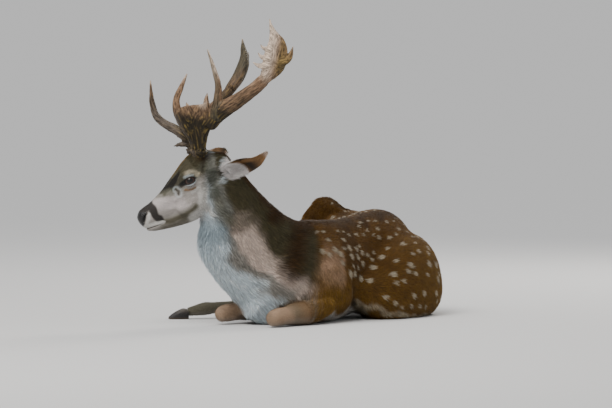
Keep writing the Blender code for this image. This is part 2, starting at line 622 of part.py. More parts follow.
def cut_away(body, cutter_shapes, name, home, guides):
    """Part a piece from the body inside an envelope, leaving the gap."""
    cutter = solid(name + "_cutter", cutter_shapes, guides)
    piece = bpy.data.objects.new(name, body.data.copy())
    home.objects.link(piece)
    boolean(piece, cutter, "INTERSECT")
    largest_body(piece)
    piece.name = piece.data.name = name
    clear = grown(cutter, GAP, guides)
    boolean(body, clear, "DIFFERENCE")
    largest_body(body)
    for used in (cutter, clear):
        bpy.data.objects.remove(used)
    return piece


def plane_box(cut, shift=0.0, size=1.6):
    """A box on one side of a cutting plane, as a closed shape."""
    point, way = cut
    way = unit(way)
    side = unit(np.cross(way, vec(0, 0.3, 1)))
    other = np.cross(way, side)
    corners = [point + way * (shift + far) + side * a + other * b
               for far in (0, size) for a, b in ((-size, -size), (size, -size), (size, size), (-size, size))]
    faces = [(0, 1, 2, 3), (7, 6, 5, 4), (0, 4, 5, 1), (1, 5, 6, 2), (2, 6, 7, 3), (3, 7, 4, 0)]
    return np.array(corners), faces


def part_by_plane(body, cut, name, home, guides):
    """Part the piece beyond a plane from the body."""
    piece = bpy.data.objects.new(name, body.data.copy())
    home.objects.link(piece)
    for obj, shift, how in ((piece, GAP, "INTERSECT"), (body, 0.0, "DIFFERENCE")):
        cutter = solid("plane", [plane_box(cut, shift)], guides)
        boolean(obj, cutter, how)
        largest_body(obj)
        bpy.data.objects.remove(cutter)
    return piece


def open_edges(mesh):
    """How many edges don't have two faces."""
    work = bmesh.new()
    work.from_mesh(mesh)
    count = sum(len(edge.link_faces) != 2 for edge in work.edges)
    work.free()
    return count


def thinned(obj, faces):
    """Fewer, larger triangles, about this many, at the first count that stays closed."""
    fine = obj.data
    for extra in range(THINNING_TRIES):
        obj.data = fine.copy()
        obj.data.calc_loop_triangles()
        change = obj.modifiers.new("thin", "DECIMATE")
        change.ratio = faces * (1 + 0.02 * extra) / max(len(obj.data.loop_triangles), faces)
        settle(obj)
        if not open_edges(obj.data):
            break
    return obj


def build_flesh(home, guides):
    """The flesh at rest on the floor, thinned, with the head kept finer."""
    body = flesh_body(guides, FLESH_VOXEL)
    floor = solid("floor", [(np.array([(x, y, z) for z in (-FLOOR_DEPTH, 0) for x, y in
                                       ((-2, -2), (2, -2), (2, 2), (-2, 2))], float),
                             [(3, 2, 1, 0), (4, 5, 6, 7), (0, 1, 5, 4), (1, 2, 6, 5), (2, 3, 7, 6),
                              (3, 0, 4, 7)])], guides)
    head = bpy.data.objects.new("head", body.data.copy())
    home.objects.link(head)
    thinned(head, FACES_BY_HEAD)
    thinned(body, FACES_BY_BODY)
    boolean(body, floor, "DIFFERENCE")
    for obj, shift, how in ((head, GAP, "INTERSECT"), (body, 0.0, "DIFFERENCE")):
        cutter = solid("plane", [plane_box(HEAD_CUT, shift)], guides)
        boolean(obj, cutter, how)
        largest_body(obj)
        bpy.data.objects.remove(cutter)
    bpy.data.objects.remove(floor)
    return head, body


def seat(holder, obj, guides, gap=2 * GAP):
    """Hollow a holder so that another solid sits in it with a gap round it."""
    for by in (gap, gap / 4, 0):    # the last ones cover what a sharp fold leaves in the first
        clear = grown(obj, by, guides)
        boolean(holder, clear, "DIFFERENCE")
        largest_body(holder)
        bpy.data.objects.remove(clear)


def build_antler(side, head, home, guides):
    word = "left" if side > 0 else "right"
    forms = antler_form(side)
    beam = thinned(union(f"antler_{word}_beam", forms.pop("beam"), home), BEAM_FACES)
    seat(head, beam, guides)
    parts = [beam]
    for name, shapes in forms.items():
        tine_part = union(f"antler_{word}_{name}", shapes, home)
        if name == "palm":
            thinned(tine_part, PALM_FACES)
        seat(tine_part, beam, guides)
        parts.append(tine_part)
    for part in parts:
        paint(part, "antler", HORN, 0.6)


def build_claws(body_parts, home, guides):
    """Two claws to a foot, each set in the flesh that it meets."""
    for leg in LEGS:
        for outer in (True, False):
            claw = union(f"{leg}_claw_{'outer' if outer else 'inner'}", claw_form(leg, outer), home)
            floor_cut = solid("floor", [plane_box((vec(0, 0, 0), vec(0, 0, -1)), 0.0, 0.9)], guides)
            boolean(claw, floor_cut, "DIFFERENCE")
            bpy.data.objects.remove(floor_cut)
            paint(claw, "hoof", HOOF, 0.45)
            for part in body_parts:
                if touching(part, claw):
                    seat(part, claw, guides)


def touching(a, b):
    """Whether two objects' boxes meet."""
    boxes = []
    for obj in (a, b):
        points = np.array([v.co[:] for v in obj.data.vertices])
        boxes.append((points.min(axis=0) - GAP, points.max(axis=0) + GAP))
    return bool((boxes[0][0] <= boxes[1][1]).all() and (boxes[1][0] <= boxes[0][1]).all())


def build_head_parts(head, home, guides):
    """The bare nose, the eyes in their sockets, and the ears."""
    nose_cut = (on_head(NOSE_BACK, 0), on_head(0, 0) - on_head(1, 0.25))
    nose = part_by_plane(head, nose_cut, "nose", home, guides)
    paint(nose, "nose", DARK, 0.5)
    for side, word in ((1, "left"), (-1, "right")):
        ball = swelling(EYES[side], (EYE_RADIUS,) * 3, LEFTWARD, FACING, EYE_SIDES)
        eye = union(f"eye_{word}", [ball], home)
        paint(eye, "eye", DARK, 0.1)
        seat(head, eye, guides)
        ear = union(f"ear_{word}", [ear_form(side)], home)
        paint(ear, "coat_pale", PALE_COAT, 0.85)
        seat(head, ear, guides)


def centre_on_box(home):
    """Put the origin under the middle of the whole model's box."""
    points = np.vstack([[v.co[:] for v in obj.data.vertices] for obj in home.objects])
    low, high = points.min(axis=0), points.max(axis=0)
    middle = Vector(((low[0] + high[0]) / 2, (low[1] + high[1]) / 2, 0))
    for obj in home.objects:
        obj.data.transform(Matrix.Translation(-middle))


def build():
    clear_scene()
    home = bpy.data.collections.new(COLLECTION)
    guides = bpy.data.collections.new("guides")
    for each in (home, guides):
        bpy.context.scene.collection.children.link(each)
    head, body = build_flesh(home, guides)
    body_parts = []
    for name in ("tail", "hindleg_right_foot", "hindleg_left_foot", "foreleg_left", "foreleg_right",
                 "hindleg_right_shank", "hindleg_right", "hindleg_left"):
        cutter = limb(LIMB_CUTS[name], reach=(0.02, 0.02), steps=CUT_STEPS, sides=CUT_SIDES)
        body_parts.append(cut_away(body, [cutter], name, home, guides))
    body_parts.append(part_by_plane(body, NECK_CUT, "neck", home, guides))
    body_parts.append(part_by_plane(body, RUMP_CUT, "rump", home, guides))
    guides.objects.unlink(body)
    home.objects.link(body)
    body.name = body.data.name = "chest"
    body_parts.append(body)
    for part in (head, *body_parts):
        paint(part, "coat", COAT, 0.85)
    build_head_parts(head, home, guides)
    for side in (1, -1):
        build_antler(side, head, home, guides)
    build_claws(body_parts, home, guides)
    for obj in home.objects:
        obj.data.shade_smooth()
    centre_on_box(home)


build()
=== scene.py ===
"""Looks of the fallow deer buck: skin, coat, antlers, eyes, hooves, camera and light."""
import math

import bmesh
import bpy
import numpy as np
from mathutils import Matrix, Vector
from mathutils.bvhtree import BVHTree


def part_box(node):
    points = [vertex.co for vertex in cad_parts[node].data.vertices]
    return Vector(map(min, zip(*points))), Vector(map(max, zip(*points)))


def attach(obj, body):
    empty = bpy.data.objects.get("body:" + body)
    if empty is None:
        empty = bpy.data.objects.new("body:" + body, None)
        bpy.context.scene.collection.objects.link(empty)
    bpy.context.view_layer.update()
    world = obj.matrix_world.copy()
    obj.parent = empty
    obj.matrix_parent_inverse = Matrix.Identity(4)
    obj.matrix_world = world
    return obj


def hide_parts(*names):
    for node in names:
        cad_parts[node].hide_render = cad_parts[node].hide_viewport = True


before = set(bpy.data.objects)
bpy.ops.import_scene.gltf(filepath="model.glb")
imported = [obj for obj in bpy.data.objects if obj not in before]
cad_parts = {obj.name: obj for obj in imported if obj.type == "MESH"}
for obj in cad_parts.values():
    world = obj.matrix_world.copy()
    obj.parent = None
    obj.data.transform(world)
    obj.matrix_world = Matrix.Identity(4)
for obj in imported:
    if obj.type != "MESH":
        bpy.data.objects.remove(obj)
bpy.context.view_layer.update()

# How finely the form is divided.
SIDES, STEPS = 24, 4
CAP_ANGLES = (0.4, 0.8, 1.2)
ANTLER_SIDES, ANTLER_STEPS = 16, 6
CLAW_STEPS = 6
EAR_POINTS, EAR_STEPS = 22, 10

# --- The deer's form: one set of sections, in metres -------------------------
# The deer faces -X and lies on the floor, z = 0. Its left side is at -Y.
# A loft section is (low point, high point, half width, taper, fullness): the
# taper widens the low side where it is negative, and fullness 2 is an ellipse.

def vec(*numbers):
    return np.array(numbers, float)


def flow(rows, steps):
    """Rows of numbers eased through a Catmull-Rom curve, steps to a span."""
    rows = np.array(rows, float)
    ends = np.vstack([2 * rows[0] - rows[1], rows, 2 * rows[-1] - rows[-2]])
    out = []
    for i in range(1, len(rows)):
        a, b, c, d = ends[i - 1], ends[i], ends[i + 1], ends[i + 2]
        for t in np.arange(steps) / steps:
            out.append(0.5 * (2 * b + (c - a) * t + (2 * a - 5 * b + 4 * c - d) * t * t
                              + (3 * b - a - 3 * c + d) * t ** 3))
    return np.array(out + [rows[-1]])


def unit(v):
    return v / max(np.linalg.norm(v), 1e-9)


def closed_rings(rings, tangents, reach):
    """Rings of points with a rounded cap on each end, as one closed mesh."""
    caps, tips = [], []
    for ring, way, far in ((rings[0], -tangents[0], reach[0]), (rings[-1], tangents[-1], reach[1])):
        centre = ring.mean(axis=0)
        caps.append([centre + (ring - centre) * math.cos(angle) + unit(way) * far * math.sin(angle)
                     for angle in CAP_ANGLES])
        tips.append(centre + unit(way) * far)
    n = len(rings[0])
    rings = caps[0][::-1] + list(rings) + caps[1]
    points = np.vstack(rings + [tips[0][None], tips[1][None]])
    faces = []
    for k in range(len(rings) - 1):
        for j in range(n):
            a, b = k * n + j, k * n + (j + 1) % n
            faces.append((a, b, b + n, a + n))
    low_tip, high_tip, top = len(points) - 2, len(points) - 1, (len(rings) - 1) * n
    for j in range(n):
        faces.append((low_tip, (j + 1) % n, j))
        faces.append((high_tip, top + j, top + (j + 1) % n))
    return points, faces


def round_angles(sides):
    return np.linspace(0, 2 * math.pi, sides, endpoint=False)


def loft(sections, steps=STEPS, sides=SIDES, reach=(0.02, 0.02)):
    """A body through sections, each told by its low and its high point."""
    rows = flow([[*low, *high, *rest] for low, high, *rest in sections], steps)
    middles = (rows[:, :3] + rows[:, 3:6]) / 2
    tangents = np.gradient(middles, axis=0)
    turn = round_angles(sides)
    rings = []
    for row, middle, tangent in zip(rows, middles, tangents):
        rise = (row[3:6] - row[:3]) / 2
        width, taper, fullness = row[6:9]
        across = unit(np.cross(tangent, rise))
        c, s = np.cos(turn), np.sin(turn)
        up = np.sign(s) * np.abs(s) ** (2 / fullness)
        out = np.sign(c) * np.abs(c) ** (2 / fullness) * width * (1 + taper * up)
        rings.append(middle + out[:, None] * across + up[:, None] * rise)
    return closed_rings(rings, tangents, reach)


def limb(stations, deep=(0, 0, 1), steps=STEPS, sides=SIDES, reach=None):
    """A tapering round or flat form: (x, y, z, half width, half depth) along it."""
    rows = flow(stations, steps)
    tangents = np.gradient(rows[:, :3], axis=0)
    turn = round_angles(sides)
    rings = []
    for row, tangent in zip(rows, tangents):
        across = unit(np.cross(unit(tangent), np.array(deep, float)))
        down = np.cross(across, unit(tangent))
        ring = np.outer(np.cos(turn) * row[3], across) - np.outer(np.sin(turn) * row[4], down)
        rings.append(row[:3] + ring)
    if reach is None:
        reach = (min(rows[0, 3:5]) * 0.8, min(rows[-1, 3:5]) * 0.8)
    return closed_rings(rings, tangents, reach)


def swelling(centre, radii, along=(1, 0, 0), tilt=(0, 0, 1), sides=SIDES):
    """An ellipsoid of muscle or bone: radii along, across and towards tilt."""
    x = unit(np.array(along, float))
    y = unit(np.cross(np.array(tilt, float), x))
    z = np.cross(x, y)
    turn = round_angles(sides)
    rings = []
    for part in np.linspace(-0.75, 0.75, sides // 2 - 1):
        ring_size = math.cos(part * math.pi / 2)
        ring = (np.outer(np.cos(turn) * radii[1], y) + np.outer(np.sin(turn) * radii[2], z)) * ring_size
        rings.append(np.array(centre) + x * radii[0] * math.sin(part * math.pi / 2) + ring)
    gap = radii[0] * (1 - math.sin(0.75 * math.pi / 2))
    return closed_rings(rings, [x, x], (gap, gap))


def leaf(spine, face, cup, thickness=0.004, steps=EAR_STEPS):
    """A cupped ear: (x, y, z, half width) along its back, open towards face."""
    rows = flow(spine, steps)
    tangents = np.gradient(rows[:, :3], axis=0)
    edge = np.linspace(-1, 1, EAR_POINTS)
    rings = []
    for row, tangent in zip(rows, tangents):
        across = unit(np.cross(np.array(face, float), unit(tangent)))
        front = np.cross(unit(tangent), across)
        curl = cup * row[3] * (1 - np.cos(edge * math.pi / 2))
        wall = thickness * (1 - 0.45 * np.abs(edge))
        back = np.outer(edge * row[3], across) + np.outer(curl, front)
        inner = back + np.outer(wall, front)
        rings.append(row[:3] + np.vstack([back, inner[::-1]]))
    return closed_rings(rings, tangents, (thickness, thickness))


# The head is drawn in its own frame, in centimetres: back from the nose tip
# along the face, up from there, and out to the deer's left.
HEAD_AT = vec(-0.182, 0.339, 0.324)
HEAD_TURN = math.radians(132)
HEAD_DIP = math.radians(34)
FACING = vec(math.cos(HEAD_TURN), math.sin(HEAD_TURN), 0)
LEFTWARD = vec(-math.sin(HEAD_TURN), math.cos(HEAD_TURN), 0)
RISE = vec(0, 0, 1)
CROWN = HEAD_AT - 0.183 * FACING + 0.192 * RISE


def on_head(back, up, out=0.0):
    """A point in the head's own frame, in centimetres."""
    along = -FACING * math.cos(HEAD_DIP) + RISE * math.sin(HEAD_DIP)
    above = FACING * math.sin(HEAD_DIP) + RISE * math.cos(HEAD_DIP)
    return HEAD_AT + (back * along + up * above + out * LEFTWARD) / 100


def by_crown(back, up, out):
    """A point from the middle of the crown, level with the floor, in centimetres."""
    return CROWN + (-back * FACING + up * RISE + out * LEFTWARD) / 100


def face_loft(rows, **more):
    """A loft along the face: (back, low, high, half width, taper, fullness) in cm."""
    sections = [(on_head(back, low), on_head(back, high), wide / 100, taper, full)
                for back, low, high, wide, taper, full in rows]
    return loft(sections, **more)


# Cheeks, brows, cheekbones and ear roots: back, up and out on the head in centimetres, and the three radii.
HEAD_SWELLINGS = [
    (16.2, -5.2, 2.9, (0.052, 0.020, 0.042)), (19.2, 1.6, 4.15, (0.038, 0.019, 0.024)),
    (16.5, -2.1, 3.7, (0.050, 0.013, 0.018)), (29.3, -0.6, 4.6, (0.028, 0.022, 0.027))]
PEDICLE = [(24.0, 3.0, 3.2, 0.022), (25.6, 5.6, 3.5, 0.0185), (26.4, 7.0, 3.7, 0.0175)]


def head_form():
    """Skull, muzzle, jaw, cheeks, brows and the roots of the ears."""
    skull = face_loft([
        (0.5, -3.9, 0.1, 1.9, 0.00, 2.4), (1.6, -4.7, 1.0, 2.6, 0.05, 2.5),
        (3.5, -5.2, 1.3, 2.8, 0.08, 2.4), (6.2, -5.8, 1.4, 2.8, 0.12, 2.3),
        (10.8, -6.5, 2.4, 3.3, 0.15, 2.3), (14.0, -7.3, 3.6, 4.1, 0.22, 2.3),
        (17.3, -7.8, 4.8, 5.0, 0.30, 2.3), (20.5, -7.8, 6.0, 5.5, 0.25, 2.3),
        (24.0, -7.8, 6.6, 5.4, 0.15, 2.2), (28.0, -7.2, 5.4, 5.0, 0.05, 2.1),
        (31.5, -5.5, 2.6, 4.2, 0.00, 2.0)], reach=(0.006, 0.018))
    jaw = face_loft([
        (1.1, -5.7, -3.6, 1.3, 0.10, 2.2), (2.4, -6.6, -3.4, 1.8, 0.12, 2.2),
        (5.0, -7.8, -3.8, 1.9, 0.15, 2.2), (8.5, -9.2, -4.3, 2.2, 0.18, 2.2),
        (12.4, -10.5, -4.3, 2.7, 0.20, 2.2), (16.0, -11.1, -3.5, 3.3, 0.20, 2.2),
        (19.5, -10.6, -2.5, 3.8, 0.15, 2.1), (23.5, -9.4, -1.5, 4.0, 0.10, 2.0)],
        reach=(0.005, 0.02))
    along = on_head(1, 0) - on_head(0, 0)
    above = on_head(0, 1) - on_head(0, 0)
    swellings = [swelling(on_head(back, up, out * side), radii, along, above)
                 for back, up, out, radii in HEAD_SWELLINGS for side in (1, -1)]
    pedicles = [limb([(*on_head(back, up, out * side), wide, wide) for back, up, out, wide in PEDICLE],
                     deep=FACING) for side in (1, -1)]
    return [skull, jaw, *swellings, *pedicles]


# The neck, thick and deep as a buck's is, from the shoulders to behind the jaw.
NECK = [
    ((0.075, 0.125, 0.050), (0.300, 0.042, 0.300), 0.108, -0.05, 2.1),
    ((0.028, 0.172, 0.110), (0.255, 0.047, 0.308), 0.100, -0.02, 2.1),
    ((-0.012, 0.205, 0.175), (0.198, 0.052, 0.325), 0.092, 0.00, 2.1),
    ((-0.031, 0.219, 0.228), (0.150, 0.058, 0.350), 0.084, 0.00, 2.1),
    ((-0.040, 0.207, 0.290), (0.100, 0.072, 0.388), 0.075, 0.00, 2.1),
    ((-0.050, 0.190, 0.348), (0.058, 0.090, 0.432), 0.066, 0.00, 2.1),
    ((-0.058, 0.182, 0.395), (0.026, 0.115, 0.480), 0.056, 0.00, 2.1)]

# Chest, belly and rump: an arc hollow to the right, rolled on the left hip.
BARREL = [
    ((0.082, 0.118, 0.022), (0.130, 0.095, 0.200), 0.075, 0.05, 2.1),
    ((0.125, 0.098, -0.004), (0.205, 0.062, 0.290), 0.110, -0.04, 2.1),
    ((0.205, 0.075, -0.008), (0.275, 0.045, 0.309), 0.126, -0.20, 2.2),
    ((0.300, 0.050, -0.008), (0.350, 0.028, 0.308), 0.128, -0.24, 2.2),
    ((0.400, 0.066, -0.008), (0.450, 0.022, 0.306), 0.112, -0.10, 2.1),
    ((0.520, 0.090, 0.000), (0.550, 0.014, 0.312), 0.106, 0.06, 2.1),
    ((0.630, 0.100, 0.025), (0.650, 0.008, 0.320), 0.118, 0.05, 2.1),
    ((0.730, 0.130, 0.060), (0.740, 0.015, 0.318), 0.112, 0.00, 2.1),
    ((0.810, 0.145, 0.080), (0.820, 0.030, 0.285), 0.098, 0.00, 2.1),
    ((0.870, 0.140, 0.100), (0.876, 0.050, 0.225), 0.060, 0.00, 2.0)]


def trunk_form():
    """Chest, belly, rump and both shoulders."""
    barrel = loft(BARREL, reach=(0.035, 0.03), sides=2 * SIDES)
    shoulder = swelling((0.185, 0.008, 0.140), (0.125, 0.064, 0.110), (1, -0.25, 0.35))
    far_shoulder = swelling((0.225, 0.110, 0.140), (0.120, 0.062, 0.110), (1, -0.25, 0.35))
    return [barrel, shoulder, far_shoulder]


# Each leg is a chain of joints, (x, y, z), from the body to the fetlock, with
# the place of its toe last.
LEGS = {
    "foreleg_left": dict(elbow=(0.232, -0.036, 0.040), knee=(0.033, -0.012, 0.029),
                         fetlock=(0.205, 0.006, 0.022), toe=(0.298, 0.014, 0.008)),
    "foreleg_right": dict(elbow=(0.287, 0.142, 0.045), knee=(0.062, 0.186, 0.034),
                          fetlock=(0.240, 0.128, 0.022), toe=(0.334, 0.112, 0.008)),
    "hindleg_left": dict(knee=(0.520, -0.078, 0.080),
                         hock=(0.785, 0.060, 0.045), fetlock=(0.628, 0.222, 0.030),
                         toe=(0.550, 0.292, 0.008)),
    "hindleg_right": dict(hip=(0.744, 0.112, 0.220), knee=(0.518, 0.116, 0.322),
                          hock=(0.461, 0.206, 0.050), fetlock=(0.255, 0.384, 0.030),
                          toe=(0.178, 0.456, 0.008)),
}


def between(a, b, part, lift=0.0):
    """A place part of the way from a to b, lifted."""
    a, b = np.array(a, float), np.array(b, float)
    return a + (b - a) * part + vec(0, 0, lift)


# Parts of a leg between two joints: part of the way, lift, half width, half depth.
FOREARM = [(-0.10, 0.02, 0.048, 0.044), (0.15, 0.005, 0.044, 0.042), (0.45, 0, 0.036, 0.035),
           (0.75, 0, 0.027, 0.028), (0.95, 0, 0.026, 0.028), (1.06, -0.002, 0.024, 0.025)]
FORE_CANNON = [(-0.02, -0.004, 0.023, 0.023), (0.12, 0, 0.018, 0.020), (0.5, 0, 0.0135, 0.016),
               (0.88, 0, 0.0145, 0.018), (1.0, 0, 0.0175, 0.020)]
FORE_PASTERN = [(0.45, 0, 0.0145, 0.0145)]
SHANK = [(-0.04, 0, 0.044, 0.050), (0.12, 0, 0.046, 0.064), (0.3, 0, 0.042, 0.060), (0.55, 0, 0.030, 0.040),
         (0.8, 0, 0.019, 0.028), (1.0, 0, 0.021, 0.030)]
HIND_CANNON = [(-0.12, -0.004, 0.021, 0.024), (0.06, 0, 0.022, 0.028), (0.25, 0, 0.0165, 0.020),
               (0.6, 0, 0.014, 0.018), (0.9, 0, 0.016, 0.020), (1.0, 0, 0.0195, 0.022)]
HIND_PASTERN = [(0.45, 0.002, 0.0155, 0.0155)]
RAISED_THIGH = [(-0.15, 0, 0.070, 0.085), (0.15, -0.03, 0.080, 0.110), (0.45, -0.040, 0.074, 0.106),
                (0.75, -0.03, 0.060, 0.086), (0.97, 0, 0.048, 0.055), (1.02, 0, 0.043, 0.047)]


def chain(at, *spans, **more):
    """A limb through the joints of one leg: (from, to, rows between them) for each span."""
    return limb([(*between(at[a], at[b], part, lift), wide, deep)
                 for a, b, rows in spans for part, lift, wide, deep in rows], **more)


def foreleg_form(at):
    return [chain(at, ("elbow", "knee", FOREARM)),
            chain(at, ("knee", "fetlock", FORE_CANNON), ("fetlock", "toe", FORE_PASTERN))]


def shank_and_foot(at):
    return [chain(at, ("knee", "hock", SHANK), deep=vec(*at["fetlock"]) - vec(*at["hock"])),
            chain(at, ("hock", "fetlock", HIND_CANNON), ("fetlock", "toe", HIND_PASTERN))]


def thigh_form(name):
    """The left thigh bears the weight, broad on the floor; the right one is raised."""
    if name == "hindleg_left":
        return [loft([
            ((0.475, -0.085, 0.015), (0.480, -0.078, 0.140), 0.055, -0.05, 2.1),
            ((0.530, -0.082, -0.020), (0.540, -0.070, 0.188), 0.085, -0.08, 2.2),
            ((0.605, -0.066, -0.030), (0.612, -0.050, 0.235), 0.113, -0.12, 2.3),
            ((0.685, -0.044, -0.030), (0.690, -0.028, 0.258), 0.128, -0.16, 2.4),
            ((0.765, -0.022, -0.025), (0.768, -0.008, 0.256), 0.124, -0.16, 2.4),
            ((0.835, 0.006, -0.010), (0.838, 0.012, 0.235), 0.100, -0.10, 2.3),
            ((0.885, 0.030, 0.015), (0.886, 0.034, 0.195), 0.062, 0.00, 2.1)],
            reach=(0.03, 0.02))]
    return [chain(LEGS[name], ("hip", "knee", RAISED_THIGH))]


def tail_form():
    return [limb([(0.862, 0.070, 0.235, 0.020, 0.018), (0.900, 0.078, 0.215, 0.024, 0.018),
                  (0.928, 0.088, 0.165, 0.027, 0.017), (0.938, 0.098, 0.110, 0.020, 0.014),
                  (0.940, 0.104, 0.070, 0.010, 0.009)], deep=(1, 0, 0))]


# Each ear from root to tip: back, up and out from the crown and half width, in centimetres.
EAR_SPINES = {
    1: [(8.6, -4.7, 4.4, 2.5), (10.2, -3.9, 6.6, 3.0), (12.7, -2.8, 9.6, 2.9), (15.5, -1.8, 12.8, 2.0),
        (18.1, 0.4, 15.6, 0.6)],
    -1: [(8.2, -4.8, 4.4, 2.4), (8.2, -3.6, 7.2, 3.0), (8.0, -2.4, 10.6, 3.3), (7.4, -1.2, 14.4, 2.3),
         (6.6, -0.4, 18.0, 0.6)]}
EAR_FACES = {1: -0.30 * RISE + 0.90 * LEFTWARD - 0.15 * FACING,
             -1: 0.8 * RISE + 0.5 * LEFTWARD + 0.4 * FACING}


def ear_spine(side):
    return [(*by_crown(back, up, out * side), wide / 100) for back, up, out, wide in EAR_SPINES[side]]


def ear_form(side):
    """Laid back and out; the right one turns further out than the left."""
    return leaf(ear_spine(side), face=EAR_FACES[side], cup=0.55 if side > 0 else 0.5)


def tine(rows, side, broad=1.0):
    """A round or flat tine through (back, up, out, half width) rows in centimetres."""
    stations = [(*by_crown(back, up, out * side), wide / 100, max(wide * broad, 0.15) / 100)
                for back, up, out, wide in rows]
    return limb(stations, deep=LEFTWARD, sides=ANTLER_SIDES, steps=ANTLER_STEPS)


def plate(rows, side):
    """A blade through (front back, front up, rear back, rear up, out, half thickness) rows."""
    sections = [(by_crown(a, b, (out - 0.4) * side), by_crown(c, d, (out + 0.4) * side), thick / 100, 0, 2.0)
                for a, b, c, d, out, thick in rows]
    return loft(sections, sides=ANTLER_SIDES, steps=ANTLER_STEPS, reach=(0.006, 0.005))


def antler_form(side):
    """One antler's beam, brow tine, trez tine and palm, each a list of shapes."""
    burr = tine([(0.0, -0.5, 3.5, 2.0), (0.0, 0.0, 3.6, 2.55), (0.05, 0.6, 3.7, 2.5),
                 (0.1, 1.0, 3.8, 2.0)], side)
    if side > 0:
        beam = [burr,
                plate([(-1.8, 0.4, 1.9, 0.4, 3.7, 1.7), (-3.6, 4.3, 2.3, 4.3, 5.0, 1.6),
                       (-6.4, 7.9, 3.4, 7.6, 6.8, 1.3), (-7.4, 11.2, 5.8, 11.0, 8.4, 1.0),
                       (-6.2, 13.4, 6.3, 14.2, 9.2, 0.7)], side),
                tine([(2.4, 8.3, 8.0, 2.2), (5.2, 12.0, 10.6, 2.6), (10.0, 15.4, 14.2, 2.2),
                      (14.2, 18.8, 17.3, 1.95), (16.6, 21.2, 19.0, 1.9)], side, 0.7),
                tine([(-3.2, 11.8, 7.4, 0.9), (-3.9, 13.6, 7.2, 0.6), (-4.2, 14.8, 7.0, 0.15)], side),
                tine([(1.5, 12.6, 9.0, 1.2), (1.4, 15.2, 9.0, 0.8), (1.7, 17.6, 9.0, 0.15)], side)]
        brow = [tine([(-5.6, 9.4, 6.4, 1.5), (-6.9, 12.4, 6.9, 1.3), (-7.2, 15.4, 7.2, 1.0),
                      (-6.0, 18.8, 7.6, 0.8), (-4.1, 23.2, 8.0, 0.2)], side)]
        trez = [tine([(4.2, 12.0, 10.2, 1.5), (4.5, 16.4, 11.2, 1.25), (4.4, 20.1, 12.0, 0.95),
                      (2.9, 25.3, 12.5, 0.65), (1.2, 30.3, 12.5, 0.2)], side)]
        palm = [plate([(15.4, 21.8, 18.2, 20.6, 19.2, 1.2), (15.9, 24.6, 21.9, 23.6, 20.6, 0.9),
                       (16.2, 28.0, 23.3, 27.2, 21.8, 0.8), (16.8, 30.5, 23.1, 30.8, 22.6, 0.7),
                       (17.6, 32.6, 22.0, 33.4, 22.9, 0.6), (17.8, 34.8, 20.2, 35.2, 23.0, 0.5),
                       (17.8, 37.0, 18.6, 37.4, 23.0, 0.3), (17.8, 38.7, 18.0, 38.9, 23.0, 0.15)], side),
                tine([(20.6, 26.4, 21.8, 1.8), (23.6, 27.8, 22.2, 1.1), (24.9, 31.2, 22.5, 0.18)], side, 0.5),
                tine([(17.2, 25.4, 21.0, 1.1), (14.9, 25.6, 21.2, 0.7), (13.2, 26.6, 21.4, 0.15)], side, 0.7),
                tine([(17.4, 27.6, 21.6, 1.0), (15.6, 28.2, 21.7, 0.6), (14.6, 29.4, 21.8, 0.15)], side, 0.7),
                tine([(17.6, 30.2, 22.2, 0.9), (16.0, 30.8, 22.3, 0.5), (15.3, 31.8, 22.3, 0.15)], side, 0.7)]
        return dict(beam=beam, brow=brow, trez=trez, palm=palm)
    beam = [burr,
            plate([(-1.8, 0.4, 1.9, 0.4, 3.7, 1.7), (-3.0, 4.3, 2.2, 4.3, 5.0, 1.6),
                   (-2.6, 7.9, 3.4, 7.6, 6.8, 1.4), (-0.6, 10.6, 5.6, 10.4, 8.6, 1.2),
                   (2.0, 13.0, 6.6, 12.6, 10.0, 0.9)], side),
            tine([(3.0, 8.5, 8.0, 1.8), (5.5, 11.6, 10.4, 1.9), (9.2, 15.0, 13.4, 1.6),
                  (12.2, 18.0, 15.8, 1.5), (14.0, 20.0, 17.2, 1.5)], side, 0.9),
            tine([(-1.0, 2.2, 4.4, 1.0), (-3.8, 2.2, 5.0, 0.7), (-6.2, 1.7, 5.2, 0.18)], side)]
    brow = [tine([(-1.2, 3.4, 4.6, 1.7), (-4.9, 6.2, 5.8, 1.45), (-8.5, 8.2, 6.9, 1.25),
                  (-11.1, 10.6, 7.5, 1.1), (-12.3, 14.9, 8.0, 0.8), (-12.8, 21.1, 8.0, 0.2)], side)]
    palm = [tine([(12.6, 18.6, 16.2, 1.6), (15.0, 21.6, 17.9, 1.8), (16.8, 25.2, 19.4, 1.75),
                  (17.4, 28.2, 20.5, 1.25), (17.2, 30.6, 21.2, 0.8), (17.0, 33.4, 21.6, 0.2)], side, 1.7),
            tine([(17.0, 25.0, 20.6, 1.0), (18.4, 27.4, 21.6, 0.7), (18.9, 29.4, 22.2, 0.18)], side)]
    return dict(beam=beam, brow=brow, palm=palm)


def claw_form(leg, outer):
    """One claw of a cloven hoof, along the foot's line and flat on the floor."""
    at = LEGS[leg]
    fetlock, toe = vec(*at["fetlock"]), vec(*at["toe"])
    way = unit((toe - fetlock) * vec(1, 1, 0))
    aside = vec(-way[1], way[0], 0) * (0.0105 if outer else -0.0105)
    rows = []
    for along, top, wide in ((-0.050, 0.030, 0.0085), (-0.040, 0.032, 0.0098), (-0.024, 0.026, 0.0098),
                             (-0.008, 0.017, 0.0080), (0.004, 0.008, 0.0045)):
        spot = vec(toe[0], toe[1], 0) + way * along + aside * (1 - 4 * max(along + 0.03, 0))
        rows.append((spot - vec(0, 0, 0.003), spot + vec(0, 0, top), wide, -0.1, 2.6))
    return [loft(rows, sides=ANTLER_SIDES, steps=CLAW_STEPS, reach=(0.003, 0.002))]


EYES = {side: on_head(18.9, 0.35, 4.78 * side) for side in (1, -1)}
EYE_RADIUS = 0.0165


def torso_form():
    """The large masses, whose creases fill in where they meet."""
    thighs = thigh_form("hindleg_left") + thigh_form("hindleg_right")
    return [loft(NECK, reach=(0.03, 0.03))] + trunk_form() + thighs


